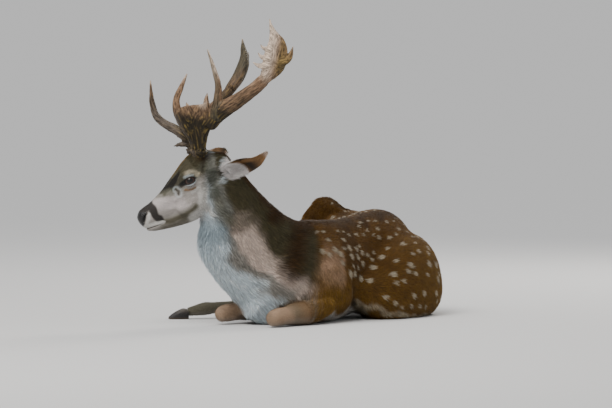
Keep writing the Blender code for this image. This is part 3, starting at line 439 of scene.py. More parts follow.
def slender_form():
    """Head, tail and lower legs, which keep their own edges."""
    shapes = head_form() + tail_form()
    for name, at in LEGS.items():
        shapes += foreleg_form(at) if name.startswith("fore") else shank_and_foot(at)
    return shapes


# --- Where things are ----------------------------------------------------------

LEFT_EYE = np.mean([tuple(corner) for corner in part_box("eye_left")], axis=0)
SHIFT = (LEFT_EYE - EYES[1]) * (1, 1, 0)        # from the form's frame to the model's
ALONG = (on_head(1, 0) - on_head(0, 0)) * 100
ABOVE = (on_head(0, 1) - on_head(0, 0)) * 100
FLOOR_CLEAR = 0.0006
CHUNK = 20000                                   # how many points are compared with all rows at once
FLESH_NODES = ("head", "nose", "ear_left", "ear_right", "neck", "chest", "rump", "tail", "foreleg_left",
               "foreleg_right", "hindleg_left", "hindleg_left_foot", "hindleg_right",
               "hindleg_right_shank", "hindleg_right_foot")
SEED = 7
# The skin that shows between the tufts is darker than the hair: painted shade inside the coat.
SHADE_BETWEEN_TUFTS = 0.80                                # how much darker the skin is than its hair
WORDS = {1: "left", -1: "right"}                # what the two sides are called
AXIS_STEPS = 8                                  # how many parts each span of the axis has


def smooth(x, low, high):
    """0 below low, 1 above high, eased between them."""
    t = np.clip((x - low) / (high - low), 0, 1)
    return t * t * (3 - 2 * t)


def hump(x, middle, half):
    """1 at the middle, falling to 0 a half width away."""
    return 1 - smooth(np.abs(x - middle), 0, half)


def blend(a, b, part):
    """From rows or one row a to b by a part for each row."""
    part = np.asarray(part)[:, None]
    return np.asarray(a) * (1 - part) + np.asarray(b) * part


def to_head(points):
    """Head coordinates in centimetres: back from the nose tip, up, out to the left."""
    away = (points - HEAD_AT) * 100
    return away @ ALONG, away @ ABOVE, away @ LEFTWARD


def mixed(a, b, part):
    """From numbers a to b by a part for each point."""
    return a * (1 - part) + b * part


def units(rows):
    return rows / np.maximum(np.linalg.norm(rows, axis=1, keepdims=True), 1e-9)


def nearest(points, rows):
    """The index of the row nearest each point."""
    found = np.empty(len(points), int)
    size = (rows ** 2).sum(axis=1) / 2
    for start in range(0, len(points), CHUNK):
        part = slice(start, start + CHUNK)
        found[part] = (size - points[part] @ rows.T).argmin(axis=1)
    return found


def ripple(points, size, seed):
    """Smooth noise from about -1 to 1 with features of about this size."""
    draw = np.random.default_rng(seed)
    waves = units(draw.normal(size=(9, 3))) * draw.uniform(0.6, 1.4, (9, 1)) * 2 * math.pi / size
    return np.sin(points @ waves.T + draw.uniform(0, 2 * math.pi, 9)).sum(axis=1) / 3.2


class Axis:
    """The line through neck and trunk, from poll to rump, with its crest and its keel."""

    def __init__(self):
        rows = flow([[*low, *high] for low, high, *rest in NECK[:0:-1] + BARREL[2:]], AXIS_STEPS)
        self.middle = (rows[:, :3] + rows[:, 3:]) / 2
        self.rise = (rows[:, 3:] - rows[:, :3]) / 2
        self.way = units(np.gradient(self.middle, axis=0))
        self.length = np.concatenate([[0], np.cumsum(np.linalg.norm(np.diff(self.middle, axis=0), axis=1))])

    def read(self, points):
        """How far along in metres, and the angle from the crest, positive to the left."""
        near = nearest(points, self.middle)
        away = points - self.middle[near]
        way = self.way[near]
        ahead = (away * way).sum(axis=1)
        rise = units(self.rise[near] - (self.rise[near] * way).sum(axis=1)[:, None] * way)
        left = np.cross(way, rise)
        up, out = (away * rise).sum(axis=1), (away * left).sum(axis=1)
        return self.length[near] + ahead, np.arctan2(out, up)


AXIS = Axis()
NECK_LENGTH = AXIS.length[AXIS_STEPS * (len(NECK) - 1)]


def distance_to(points, run):
    """The distance from each point to a line of places."""
    best = np.full(len(points), 9.0)
    for a, b in zip(run, run[1:]):
        a, b = np.array(a, float), np.array(b, float)
        part = np.clip((points - a) @ (b - a) / ((b - a) @ (b - a)), 0, 1)
        best = np.minimum(best, np.linalg.norm(points - a - part[:, None] * (b - a), axis=1))
    return best


def lower_leg(points):
    """1 on the slender part of each leg, 0 on the body."""
    near = np.full(len(points), 9.0)
    for name, at in LEGS.items():
        above, joint, part = ("elbow", "knee", 0.45) if name.startswith("fore") else ("knee", "hock", 0.75)
        run = [between(at[above], at[joint], part), at[joint], at["fetlock"], at["toe"]]
        near = np.minimum(near, distance_to(points, run))
    return 1 - smooth(near, 0.034, 0.060)


def on_face(points):
    """1 on the head, falling to 0 behind the ears and below the jaw."""
    back, up, out = to_head(points)
    ahead = 17.5 + 0.78 * (up + 12) - back
    return smooth(ahead, -1.0, 4.0) * smooth(up + 0.3 * back + 7.5, -0.8, 1.0)


# --- Mesh helpers ------------------------------------------------------------------

def in_home(name, mesh, home):
    obj = bpy.data.objects.new(name, mesh)
    home.objects.link(obj)
    return obj


def as_object(name, work, home):
    mesh = bpy.data.meshes.new(name)
    work.to_mesh(mesh)
    work.free()
    return in_home(name, mesh, home)


def solid(name, shapes, home):
    """One mesh object that holds each closed shape of a list."""
    work = bmesh.new()
    for points, faces in shapes:
        corners = [work.verts.new(p) for p in points]
        for face in faces:
            work.faces.new([corners[i] for i in face])
    bmesh.ops.recalc_face_normals(work, faces=work.faces)
    return as_object(name, work, home)


def joined(name, parts, home):
    """Several objects' meshes in one object."""
    work = bmesh.new()
    for part in parts:
        work.from_mesh(part.data)
        bpy.data.objects.remove(part)
    return as_object(name, work, home)


def changed_to(item, **settings):
    """The item with these settings."""
    for name, value in settings.items():
        setattr(item, name, value)
    return item


def changed(obj, kind, **settings):
    """The object with one modifier worked into its plain mesh."""
    changed_to(obj.modifiers.new(kind, kind), **settings)
    mesh = bpy.data.meshes.new_from_object(obj.evaluated_get(bpy.context.evaluated_depsgraph_get()))
    obj.modifiers.clear()
    obj.data = mesh
    return obj


def remeshed(obj, voxel):
    return changed(obj, "REMESH", mode="VOXEL", voxel_size=voxel)


def swollen(obj, by):
    return changed(obj, "DISPLACE", strength=by, mid_level=0)


def smoothed(obj, times):
    return changed(obj, "SMOOTH", factor=0.5, iterations=times)


def flesh_body(home):
    """The whole animal but for ears, antlers, eyes and hooves, as one body."""
    torso = remeshed(solid("torso", torso_form(), home), 2 * SKIN_VOXEL)
    torso = remeshed(swollen(torso, CREASE_FILLET), 2 * SKIN_VOXEL)
    torso = swollen(smoothed(torso, 6), -CREASE_FILLET)
    whole = joined("flesh", [torso, solid("slender", slender_form(), home)], home)
    return smoothed(remeshed(whole, SKIN_VOXEL), 9)


def values_of(items, name, size, kind=np.float32):
    """One property of every item, as rows of this size."""
    values = np.empty(len(items) * size, kind)
    items.foreach_get(name, values)
    return values.reshape(-1, size)


def places(mesh):
    return values_of(mesh.vertices, "co", 3).astype(float)


def normals_of(mesh):
    return values_of(mesh.vertices, "normal", 3).astype(float)


def corners_of(mesh):
    """The point that each loop starts at."""
    return values_of(mesh.loops, "vertex_index", 1, np.int32)[:, 0]


def unwrap_of(mesh):
    return values_of(mesh.uv_layers["OFBake"].data, "uv", 2)


def put_places(mesh, points):
    mesh.vertices.foreach_set("co", np.ascontiguousarray(points, np.float32).ravel())
    mesh.update()


def set_colours(mesh, colours):
    """A colour for each point."""
    layer = mesh.color_attributes.new("hue", "FLOAT_COLOR", "POINT")
    rows = np.ones((len(colours), 4), np.float32)
    rows[:, :3] = np.clip(colours, 0, 1)
    layer.data.foreach_set("color", rows.ravel())


def set_values(mesh, name, values, kind="FLOAT"):
    """A number, or a vector, for each point."""
    layer = mesh.attributes.new(name, kind, "POINT")
    word = "value" if kind == "FLOAT" else "vector"
    layer.data.foreach_set(word, np.ascontiguousarray(values, np.float32).ravel())


# --- Skin ------------------------------------------------------------------------------

SKIN_VOXEL = 0.004
CREASE_FILLET = 0.016                   # how far the torso's masses run into each other
# The lids' opening, in centimetres round the ball from the pupil.
LID_FRONT, LID_REAR, LID_TOP, LID_FOOT = 2.25, 2.00, 0.90, 1.02
LID_THICKNESS = 0.17
FINE_BY_EYES = (0.030, 0.024)           # how far round the eyes the skin is divided once, and again


def eye_axes(side):
    """Out of the eye, back along its corners, and up across its lids."""
    out = unit(LEFTWARD * side * 0.95 + FACING * 0.15 + RISE * 0.12)
    back = ALONG - 0.24 * ABOVE
    back = unit(back - (back @ out) * out)
    up = np.cross(back, out) * side
    return out, back, up if up @ RISE > 0 else -up


def eye_reading(points, side):
    """How far from the eye's middle, back and up round its ball in centimetres, and how squarely out."""
    out, back, up = eye_axes(side)
    away = (points - EYES[side]) * 100
    far = np.linalg.norm(away, axis=1)
    ways = away / np.maximum(far, 1e-6)[:, None]
    facing = ways @ out
    turn = np.arccos(np.clip(facing, -1, 1))
    arc = EYE_RADIUS * 100 * turn / np.maximum(np.sin(turn), 1e-3)
    return far, ways @ back * arc, ways @ up * arc, facing


def opening(back, up):
    """How far out between the lids: 0 at the pupil, 1 at the lids' rims."""
    lift = up - 0.04 * back
    wide = np.where(back < 0, LID_FRONT, LID_REAR)
    tall = np.where(lift > 0, LID_TOP, LID_FOOT)
    return (np.abs(back / wide) ** 1.9 + np.abs(lift / tall) ** 1.9) ** (1 / 1.9)


def refine(mesh, chosen):
    """Divide the edges whose two ends are chosen, and ease the new points."""
    work = bmesh.new()
    work.from_mesh(mesh)
    work.verts.ensure_lookup_table()
    edges = [e for e in work.edges if chosen[e.verts[0].index] and chosen[e.verts[1].index]]
    bmesh.ops.subdivide_edges(work, edges=edges, cuts=1, use_grid_fill=True)
    soft = {v for e in edges if e.is_valid for v in e.verts}
    soft = [v for v in work.verts if v in soft or v.index >= len(chosen) or v.index < 0]
    for _ in range(2):
        bmesh.ops.smooth_vert(work, verts=soft, factor=0.5, use_axis_x=True, use_axis_y=True, use_axis_z=True)
    work.to_mesh(mesh)
    work.free()


def coat_depth(points):
    """How far inside the solids the skin lies, in metres."""
    back, up, out = to_head(points)
    depth = np.full(len(points), 0.0055)
    along, angle = AXIS.read(points)
    depth += 0.0020 * (1 - smooth(along, NECK_LENGTH * 0.8, NECK_LENGTH * 1.1))
    depth = mixed(depth, 0.0022, lower_leg(points))
    return mixed(depth, 0.0010 + 0.0022 * smooth(back, 6, 26), on_face(points))


def dent(distance, half, deep):
    """A groove or pit's depth at a distance from its line."""
    return deep * np.exp(-(distance / half) ** 2)


def stroke(points, run):
    """Centimetres from a line drawn as (back, up) on both sides of the head."""
    back, up, out = to_head(points)
    return distance_to(np.stack([back, up], axis=1), run)


def nostril_reading(points):
    """Distance in half widths from each nostril's comma."""
    back, up, out = to_head(points)
    wide = 0.26 + 0.24 * smooth(-up, 0.9, 1.7)
    far = stroke(points, [(3.3, -0.75), (2.3, -0.85), (1.45, -1.35), (1.15, -2.15)])
    return np.where(np.abs(out) > 0.7, far / wide, 99)


def mouth_line(back):
    """How high the mouth's line lies, in centimetres."""
    return -4.3 - 0.29 * back + 0.06 * np.exp(-((back - 7.0) / 1.0) ** 2)


def mouth_reading(points):
    """Centimetres from the mouth's line, large past its corner."""
    back, up, out = to_head(points)
    return np.hypot(up - mouth_line(back), np.maximum(back - 7.4, 0)) + np.maximum(0.3 - back, 0)


def gland_reading(points):
    """Centimetres from the tear gland's slit in front of each eye."""
    middle = np.abs(to_head(points)[2]) < 1.5
    return stroke(points, [(14.1, 0.4), (14.3, -0.4), (13.9, -1.1)]) + 9 * middle


def sculpt(mesh):
    """Sink the skin by the coat's depth, and model nose, mouth, cheeks, tear glands and lids."""
    points, normals = places(mesh), normals_of(mesh)
    back, up, out = to_head(points)
    face, wide = on_face(points), np.abs(out)
    mouth = mouth_reading(points)
    cheek = np.hypot((back - 20.5) / 5.5, (up + 5.6) / 3.4)
    cheek_edge = np.hypot((back - 20.5) / 5.8, (up + 5.2) / 3.6) - 1.15
    muzzle_hollow = np.hypot((back - 11.5) / 3.2, (up + 2.3) / 0.9)
    inward = coat_depth(points)
    inward += face * dent(np.minimum(nostril_reading(points), 9), 0.85, 0.0060)
    inward += face * dent(mouth, 0.15, 0.0022) * (1 - 0.6 * smooth(back, 3, 6))
    inward -= face * dent(mouth - 0.55, 0.35, 0.0007) * (back < 7)
    inward += face * dent(gland_reading(points), 0.30, 0.0032)
    inward += face * dent(wide, 0.14, 0.0016) * (back < 1.6) * (up > -4.4) * (up < -2.2)
    inward -= face * 0.0022 * np.exp(-1.3 * cheek ** 2) * (wide > 2)
    inward += face * dent(cheek_edge, 0.16, 0.0012) * (wide > 2)
    inward += face * dent(muzzle_hollow, 1.0, 0.0020) * (wide > 1.5)
    inward += dent(distance_to(points, CREASE), 0.012, 0.0110)
    points = points - normals * inward[:, None]
    for side in (1, -1):
        shape_lids(points, side)
    points[:, 2] = np.maximum(points[:, 2], FLOOR_CLEAR)
    put_places(mesh, points)


def shape_lids(points, side):
    """Draw the skin over the eyeball outside the opening, and sink it inside."""
    far, back, up, facing = eye_reading(points, side)
    ball = EYE_RADIUS * 100
    gap = opening(back, up)
    near = (facing > 0.10) & (far < 2.9)
    swell = LID_THICKNESS + 0.09 * np.exp(-((gap - 1.25) / 0.20) ** 2) * (up > 0)
    lid = ball + swell * (1 - smooth(gap, 1.5, 2.3))
    lid -= 0.10 * np.exp(-((gap - 1.58) / 0.12) ** 2)
    inside = 1 - smooth(gap, 0.95, 1.05)
    reach = mixed(np.maximum(far, lid), ball - 0.35, inside)
    part = near * smooth(facing, 0.10, 0.40)
    factor = 1 + (reach / np.maximum(far, 1e-6) - 1) * part
    points[:] = EYES[side] + (points - EYES[side]) * factor[:, None]


def build_ear(side, home):
    """One cupped ear as its own closed shell."""
    return changed(solid("ear", [ear_form(side)], home), "SUBSURF", levels=1, render_levels=1)


def near_eyes(points, far):
    return np.any([np.linalg.norm(points - EYES[side], axis=1) < far for side in (1, -1)], axis=0)


def build_skin(home):
    """The skin of body and ears, finest on the muzzle and round the eyes."""
    skin = flesh_body(home)
    mesh = skin.data
    refine(mesh, on_face(places(mesh)) > 0.3)
    points = places(mesh)
    back, up, out = to_head(points)
    refine(mesh, (back < 9.5) & (up < 1.5) | near_eyes(points, FINE_BY_EYES[0]))
    refine(mesh, near_eyes(places(mesh), FINE_BY_EYES[1]))
    sculpt(mesh)
    return joined("skin", [skin, build_ear(1, home), build_ear(-1, home)], home)


# --- Markings --------------------------------------------------------------------------
# Colours of hair, horn and skin, as linear red, green and blue.

RUFOUS = (0.122, 0.057, 0.009)
DEEP_RUFOUS = (0.046, 0.021, 0.005)
GOLDEN = (0.205, 0.112, 0.020)
# Pink-brown hair of the shoulder blade and folded knees, made paler in part as painted sunlight.
PINK_BROWN = (0.500, 0.330, 0.215)
TAWNY = (0.260, 0.140, 0.058)
CREAM = (0.480, 0.420, 0.310)
WHITE = (0.720, 0.700, 0.660)
# White hair with the blue of shade under open sky painted in.
COOL_WHITE = (0.720, 0.815, 0.870)
# Blue-grey of the white throat under the jaw: painted shade with the sky's blue.
THROAT_SKY_SHADE = (0.310, 0.400, 0.455)
SLATE = (0.250, 0.250, 0.225)
OLIVE = (0.080, 0.068, 0.036)
OLIVE_GREY = (0.135, 0.130, 0.092)
PALE_FAWN = (0.440, 0.405, 0.375)
BRIGHT_FAWN = (0.660, 0.595, 0.580)
TEMPLE = (0.085, 0.090, 0.072)
EAR_WHITE = (0.920, 0.880, 0.870)
# Pale pink-tan hair of the neck's sides and the ears' tips, made paler in part as painted sunlight.
PINK_TAN = (0.720, 0.590, 0.510)
UMBER = (0.028, 0.019, 0.012)
BLACK = (0.010, 0.009, 0.009)

# The pale spots' rows: degrees down from the spine, the start behind the neck, and the radius.
SPOT_ROWS = ((12, 0.24, 0.0052), (25, 0.02, 0.0060), (38, 0.05, 0.0070), (50, 0.02, 0.0080),
             (61, 0.03, 0.0088), (72, 0.06, 0.0092), (83, 0.10, 0.0092), (94, 0.13, 0.0086),
             (105, 0.20, 0.0074))
SPOT_STEP, SPOT_STEP_RANGE = 0.036, (0.62, 1.40)
SPOT_SIZE_RANGE = (0.66, 1.20)
SPOT_SWAY = 4.5                         # degrees off its row
SPOT_GAP = 0.023                        # the least from one spot's middle to the next
SPOT_STRETCH = 1.30                     # longer along the hair
SPOT_CAST = 0.6                         # farther out than any skin
SPOT_REACH = 0.03                       # farther than any spot's edge


def spot_rows(surface):
    """Places of the pale spots, in rows along both sides of the trunk."""
    draw = np.random.default_rng(SEED)
    found = []
    for side in (1, -1):
        for angle, start, radius in SPOT_ROWS:
            ahead = NECK_LENGTH + start + draw.uniform(0, 0.02)
            while ahead < AXIS.length[-1] + 0.05:
                turn = side * math.radians(angle + draw.uniform(-SPOT_SWAY, SPOT_SWAY))
                k = min(np.searchsorted(AXIS.length, ahead), len(AXIS.length) - 1)
                way = AXIS.way[k]
                middle = AXIS.middle[k] + way * (ahead - AXIS.length[k])
                rise = unit(AXIS.rise[k] - (AXIS.rise[k] @ way) * way)
                cast = math.cos(turn) * rise + math.sin(turn) * np.cross(way, rise)
                hit = surface.ray_cast(Vector(middle + cast * SPOT_CAST), Vector(-cast), SPOT_CAST)[0]
                size = radius * draw.uniform(*SPOT_SIZE_RANGE)
                if hit is not None and all((hit - Vector(spot[:3])).length > SPOT_GAP for spot in found):
                    found.append((*hit, size))
                ahead += SPOT_STEP * draw.uniform(*SPOT_STEP_RANGE)
    return np.array(found)


def spots(points, ways, spot_places):
    """How much of each point is in a pale spot."""
    best = np.zeros(len(points))
    ragged = 1 + 0.09 * ripple(points, 0.007, 2)
    for *spot, size in spot_places:
        away = points - np.array(spot)
        near = np.abs(away).max(axis=1) < SPOT_REACH
        if not near.any():
            continue
        away = away[near]
        along = (away * ways[near]).sum(axis=1)
        across2 = (away ** 2).sum(axis=1) - along ** 2
        far = np.sqrt(np.maximum(across2, 0) + (along / SPOT_STRETCH) ** 2) * ragged[near]
        best[near] = np.maximum(best[near], 1 - smooth(far, size * 0.70, size * 1.15))
    return best


def overlaid(hue, *layers):
    """A hue with (colour, part) layers laid over it in turn."""
    for colour, part in layers:
        hue = blend(hue, colour, part)
    return hue


def darker(colour, share):
    return np.array(colour) * share


LOWER_LINE = [(0.43, 0.054), (0.46, 0.042), (0.50, 0.023), (0.58, 0.011), (0.66, 0.006)]     # x and height
# Between the belly and the left thigh, painted dark there as shade, and the thigh's pale edge beside it,
# partly white hair and partly a painted rim of light.
CREASE = [(0.366, -0.080, 0.125), (0.380, -0.072, 0.100), (0.400, -0.058, 0.075), (0.428, -0.040, 0.052),
          (0.462, -0.015, 0.030)]
CREASE_EDGE = [(x - 0.017, y, z) for x, y, z in CREASE[1:]]


def lower_line(points, normals, wave):
    """1 on the pale line low on the left flank."""
    x, y, z = points.T
    low = np.interp(x, *np.transpose(LOWER_LINE))
    line = 1 - smooth(np.abs(z + 0.004 * wave - low), 0.004, 0.011)
    line *= smooth(x, 0.41, 0.44) * (1 - smooth(x, 0.68, 0.76)) * (normals[:, 2] < 0.3)
    return line


def trunk_hue(points, normals, ways, spot_places):
    """Rufous with a dark back, pale spots, belly and lower line, and a pink-brown shoulder made paler in part
    as painted sunlight; painted shade behind the shoulder and in the crease before the left thigh, with a
    painted rim of light on the crease's pale edge.
    """
    along, angle = AXIS.read(points)
    ahead = along - NECK_LENGTH
    wave = ripple(points, 0.07, 3)
    side = np.abs(np.degrees(angle)) + 6 * wave
    blade = hump(ahead + 0.03 * wave, 0.045, 0.075) * hump(side, 72, 44)
    elbow = hump(ahead, 0.05, 0.12) * smooth(side, 98, 112) * (1 - smooth(side, 132, 150))
    # A darker patch over the upper side behind the shoulder blade: painted shade.
    shade_behind_shoulder = hump(ahead + 0.02 * wave, 0.155, 0.07) * (1 - smooth(side, 85, 115))
    line = (0.60 + 0.20 * ripple(points, 0.03, 11)) * lower_line(points, normals, wave)
    fleck = np.maximum(ripple(points, 0.012, 4), 0) * (0.25 + 0.75 * elbow)
    return overlaid(
        RUFOUS,
        (GOLDEN, 0.40 * smooth(side, 60, 110)),
        (GOLDEN, 0.45 * smooth(side, 30, 60) * hump(ahead, 0.46, 0.20)),
        # The shoulder's pink-brown, partly painted sunlight.
        (PINK_BROWN, 0.85 * blade),
        (GOLDEN, 0.9 * elbow),
        (DEEP_RUFOUS, 0.85 * (1 - smooth(side, 4, 22))),
        (DEEP_RUFOUS, 0.55 * shade_behind_shoulder),
        (WHITE, 0.80 * smooth(side, 134, 150)),
        (CREAM, line * (1 - smooth(side, 134, 150))),
        # A painted rim of light over white hair on the pale edge, then painted shade in the crease itself.
        (CREAM, 0.55 * hump(distance_to(points, CREASE_EDGE), 0, 0.010)),
        (UMBER, 0.85 * (1 - smooth(distance_to(points, CREASE), 0.004, 0.015))),
        (TAWNY, 0.30 * fleck),
        (CREAM, 0.92 * (spots(points, ways, spot_places) * (1 - 0.6 * elbow))))


def neck_hue(points):
    """Dark olive above, pink-tan on the sides made paler in part as painted sunlight, and a white throat,
    with painted shade: grey where the side turns to the front, blue-grey of sky shade under the jaw, and dark
    where the neck meets the shoulder.
    """
    along, angle = AXIS.read(points)
    part = along / NECK_LENGTH
    wave = ripple(points, 0.05, 5)
    lean = np.abs(np.degrees(angle)) + 6 * wave
    low = 58 + 44 * smooth(part, 0.42, 0.74)            # where the pale side begins
    pink = smooth(part + 0.03 * wave, 0.17, 0.40) * smooth(lean, low - 14, low + 16)
    throat = 1 - smooth(part, 0.16, 0.34)
    band = hump(part, 0.80, 0.15) * (1 - smooth(lean, 100, 122))
    return overlaid(
        DEEP_RUFOUS,
        (OLIVE, smooth(lean, 14, 40)),
        # The pale side of the neck, partly painted sunlight.
        (PINK_TAN, 0.95 * pink),
        # Painted shade: grey where the side turns towards the front.
        (SLATE, 0.85 * smooth(lean, 114, 126)),
        (COOL_WHITE, smooth(lean, 132, 148)),
        # Painted shade under the jaw, grey and then the blue of sky shade.
        (SLATE, 0.8 * throat * smooth(lean, 100, 125) * (1 - smooth(lean, 146, 160))),
        (THROAT_SKY_SHADE, 0.75 * hump(part + 0.02 * wave, 0.30, 0.17) * smooth(lean, 118, 138)),
        # Painted shade where the neck meets the shoulder.
        (DEEP_RUFOUS, 0.92 * band))


def leg_hue(points, normals):
    """Pinkish at the folded knees, olive-grey along the cannons, brown above."""
    x, y, z = points.T
    knees = [np.linalg.norm(points - vec(*at["knee"]), axis=1) for leg, at in LEGS.items() if "fore" in leg]
    to_knee = np.minimum(*knees) + 0.012 * ripple(points, 0.05, 6)
    near_leg = LEGS["foreleg_left"]
    to_near = distance_to(points, [near_leg["elbow"], near_leg["knee"]])
    return overlaid(
        OLIVE_GREY,
        (PINK_BROWN, 0.15 + 0.65 * (1 - smooth(to_knee, 0.035, 0.085))),
        (TAWNY, 0.75 * smooth(x, 0.06, 0.16) * (1 - smooth(to_near, 0.055, 0.075))),
        (OLIVE_GREY, 0.6 * smooth(y, 0.24, 0.30)),
        (PALE_FAWN, 0.3 * smooth(-normals[:, 2], 0.1, 0.8)))


# The stripes' join across the top of the nose: a painted shadow.
STRIPE_JOIN_SHADOW = [on_head(11.7, 2.7, 0), on_head(14.0, 3.6, 0)]
STRIPE = [(10.7, 1.8, 0.9), (12.1, 1.9, 2.0), (14.0, 2.3, 2.6), (16.3, 2.9, 3.0), (18.5, 3.6, 3.2),
          (20.6, 4.4, 3.3)]
STRIPES = [[on_head(back, up, out * side) for back, up, out in STRIPE] for side in (1, -1)] + [STRIPE_JOIN_SHADOW]
# The groove along the top of the lower jaw, where shade is painted.
JAW = ((5.4, -5.6), (7.0, -6.2), (9.0, -6.8), (12.0, -7.3), (15.0, -7.4), (16.4, -7.0))


class Face:
    """Points read in the head's centimetres, and the (colour, part) layers of each part of the face."""

    def __init__(self, points, wave):
        self.points, self.wave = points, wave
        self.back, self.up, out = to_head(points)
        self.wide = np.abs(out)

    def line(self, strength, near, far, *run, waves=1):
        """A part along a (back, up) line on both sides: full to near centimetres from it, 0 past far."""
        rows = np.stack([self.back + waves * self.wave, self.up], axis=1)
        return strength * (1 - smooth(distance_to(rows, run), near, far))

    def ground(self):
        """The grey-brown brow, the slate behind the eye, and the golden line up the nose."""
        back, up, wide, wave = self.back, self.up, self.wide, self.wave
        ridge = up - (2.3 + 0.36 * (back - 10.4))                  # 0 along the top of the nose
        top = smooth(ridge + wave, -2.2, -0.9) * smooth(back, 9.6, 10.6)
        return [(OLIVE_GREY, smooth(up + 0.45 * (back - 18) + wave, -0.6, 2.6)),
                (OLIVE, 0.9 * smooth(up + wave, 2.4, 3.6) * smooth(back, 16.5, 18.5)),
                (SLATE, 0.7 * smooth(back, 19.5, 22.5) * smooth(-up, 0.5, 3.0)),
                (OLIVE, 0.85 * top),
                (GOLDEN, 0.70 * top * (1 - smooth(wide, 0.5, 1.1)) * smooth(back, 14.6, 16.0)),
                (DEEP_RUFOUS, 0.8 * (smooth(back, 22.5, 25.5) * smooth(up, 1.5, 4.0)))]

    def stripes(self):
        """The dark stripes from the nose's sides over the eyes, joined across the top of the nose by a
        painted shadow.
        """
        back = self.back
        half = 0.0105 + 0.0022 * hump(back, 13.5, 3.5) - 0.0045 * smooth(back, 16.5, 20)
        far = np.min([distance_to(self.points, line) for line in STRIPES], axis=0)
        stripe = 1 - smooth(far + 0.003 * self.wave, half - 0.0018, half + 0.0022)
        dark = blend(darker(UMBER, 0.3), OLIVE, 0.6 * smooth(back, 16.8, 20))
        below = self.line(1, 0.7, 1.35, (13.4, 1.5), (15.0, 1.8), (16.6, 2.0), (18.2, 2.3)) * (self.wide > 1)
        # Forward of the eyes the stripe also runs across the top of the nose: painted shadow.
        return [(darker(OLIVE, 0.6), 0.92 * below),
                (dark, 0.97 * stripe * np.maximum(smooth(self.wide, 0.1, 0.6), 1 - smooth(back, 13.6, 15.0)))]

    def sides(self):
        """Brow, lids' surround, the fold before the ear, jaw with painted shade along its groove and beneath
        it, and the pale bridge of the cheek.
        """
        back, up, line = self.back, self.up, self.line
        chin = smooth(mouth_line(np.minimum(back, 9)) - up, 0.3, 1.4) * smooth(-up - 0.10 * back, 4.2, 5.6)
        return [(OLIVE_GREY, line(0.45, 0.5, 1.7, (11.6, 0.9), (13.4, 0.3), (15.8, -0.8))),
                (OLIVE, line(0.55, 0.4, 1.2, (18.6, 3.9), (20.6, 3.9), (22.6, 2.6))),
                (CREAM, line(0.75, 0.25, 0.85, (18.7, 2.9), (20.2, 2.6), (21.3, 1.7), (21.8, 0.6))),
                (COOL_WHITE, line(0.40, 0.05, 0.70, (18.0, 2.2), (19.2, 1.95), (20.2, 1.3), waves=0)),
                (UMBER, line(0.60, 0.15, 0.75, (26.6, 3.9), (24.8, 2.5), (23.1, 0.4))),
                # Painted shade: broad along the jaw's groove, darker in the groove itself, and under the
                # lower jaw.
                (OLIVE_GREY, line(0.60, 0.4, 2.3, *JAW, waves=2)),
                (OLIVE, line(0.80, 0.30, 1.15, *JAW)),
                (OLIVE, 0.72 * chin * (1 - smooth(back, 12, 15)) * smooth(back, 0.8, 3.5)),
                (WHITE, line(0.75, 0.6, 2.0, (13.6, -9.2), (16.5, -9.0))),
                (BRIGHT_FAWN, line(0.80, 0.8, 2.4, (7.6, -0.2), (10.0, -1.6), (13.6, -4.0), waves=2)),
                (OLIVE_GREY, line(0.50, 0.5, 1.4, (9.0, 2.0), (10.4, 1.4), (12.2, 0.8)))]

    def muzzle(self):
        """Dark behind the nose, white lips and chin, and the mouth's line."""
        back, up, line = self.back, self.up, self.line
        saddle = smooth(up, -0.9, 0.1) * (1 - smooth(back + self.wave, 5.4, 7.0))
        patch = line(1, 0.95, 1.50, (5.5, 0.6), (5.15, -1.2), (5.0, -3.0), (5.3, -4.6))
        lip = line(1, 0.35, 0.85, (0.0, -3.2), (2.0, -4.0), (4.0, -4.9), (5.6, -5.5))
        wedge = line(1, 0.22, 0.62, (3.75, -1.1), (3.0, -1.9), (2.0, -2.9))
        chin = smooth(mouth_line(back) - up, 0.1, 0.5) * (1 - smooth(back, 2.5, 5.5))
        mouth = 1 - smooth(mouth_reading(self.points), 0.04, 0.25)
        return [(darker(UMBER, 0.4), 0.94 * np.maximum(saddle, patch)),
                (WHITE, 0.85 * np.maximum(lip, wedge)),
                (PALE_FAWN, 0.35 * chin),
                (UMBER, (0.92 - 0.65 * smooth(back, 2.8, 6)) * mouth)]

    def eyes(self):
        """Tear glands, the lids' black rims and the pale arc below, and the lines under it."""
        pit = gland_reading(self.points)
        tears = self.line(1, 0.22, 0.60, (17.2, 0.45), (16.3, 0.45), (15.4, 0.45), waves=0)
        layers = [(UMBER, 0.85 * (tears * (self.wide > 1.5))),
                  (COOL_WHITE, 0.35 * hump(pit, 0.80, 0.45)),
                  (UMBER, 0.75 * (1 - smooth(pit + 0.3 * self.wave, 0.12, 0.52)))]
        for side in (1, -1):
            far, back, up, facing = eye_reading(self.points, side)
            close = (facing > -0.1) & (far < 4.5)
            gap = opening(back, up)
            turn = np.degrees(np.arctan2(-up, back))               # 0 behind the eye, 90 below it
            rim = smooth(turn, 15, 45) * (1 - smooth(turn, 135, 155)) * close * (1 - smooth(far, 2.2, 2.7))
            layers += [(COOL_WHITE, 0.92 * rim * (1 - smooth(np.abs(gap - 1.38), 0.12, 0.30))),
                       (BLACK, 0.95 * close * (1 - smooth(gap, 1.10, 1.22)))]
        rust = ((16.1, -1.0), (17.0, -1.7), (18.1, -2.1), (19.0, -2.2))
        return [*layers, (WHITE, self.line(0.75, 0.2, 0.7, (17.4, -2.7), (18.6, -2.95), (20.2, -2.6))),
                (TAWNY, self.line(0.88, 0.14, 0.42, *rust, waves=0))]


def face_hue(points):
    face = Face(points, 0.25 * ripple(points, 0.022, 8))
    return overlaid(PALE_FAWN, *face.ground(), *face.stripes(), *face.sides(), *face.muzzle(), *face.eyes(),
                    (BLACK, 0.97 * bare_nose(points)))


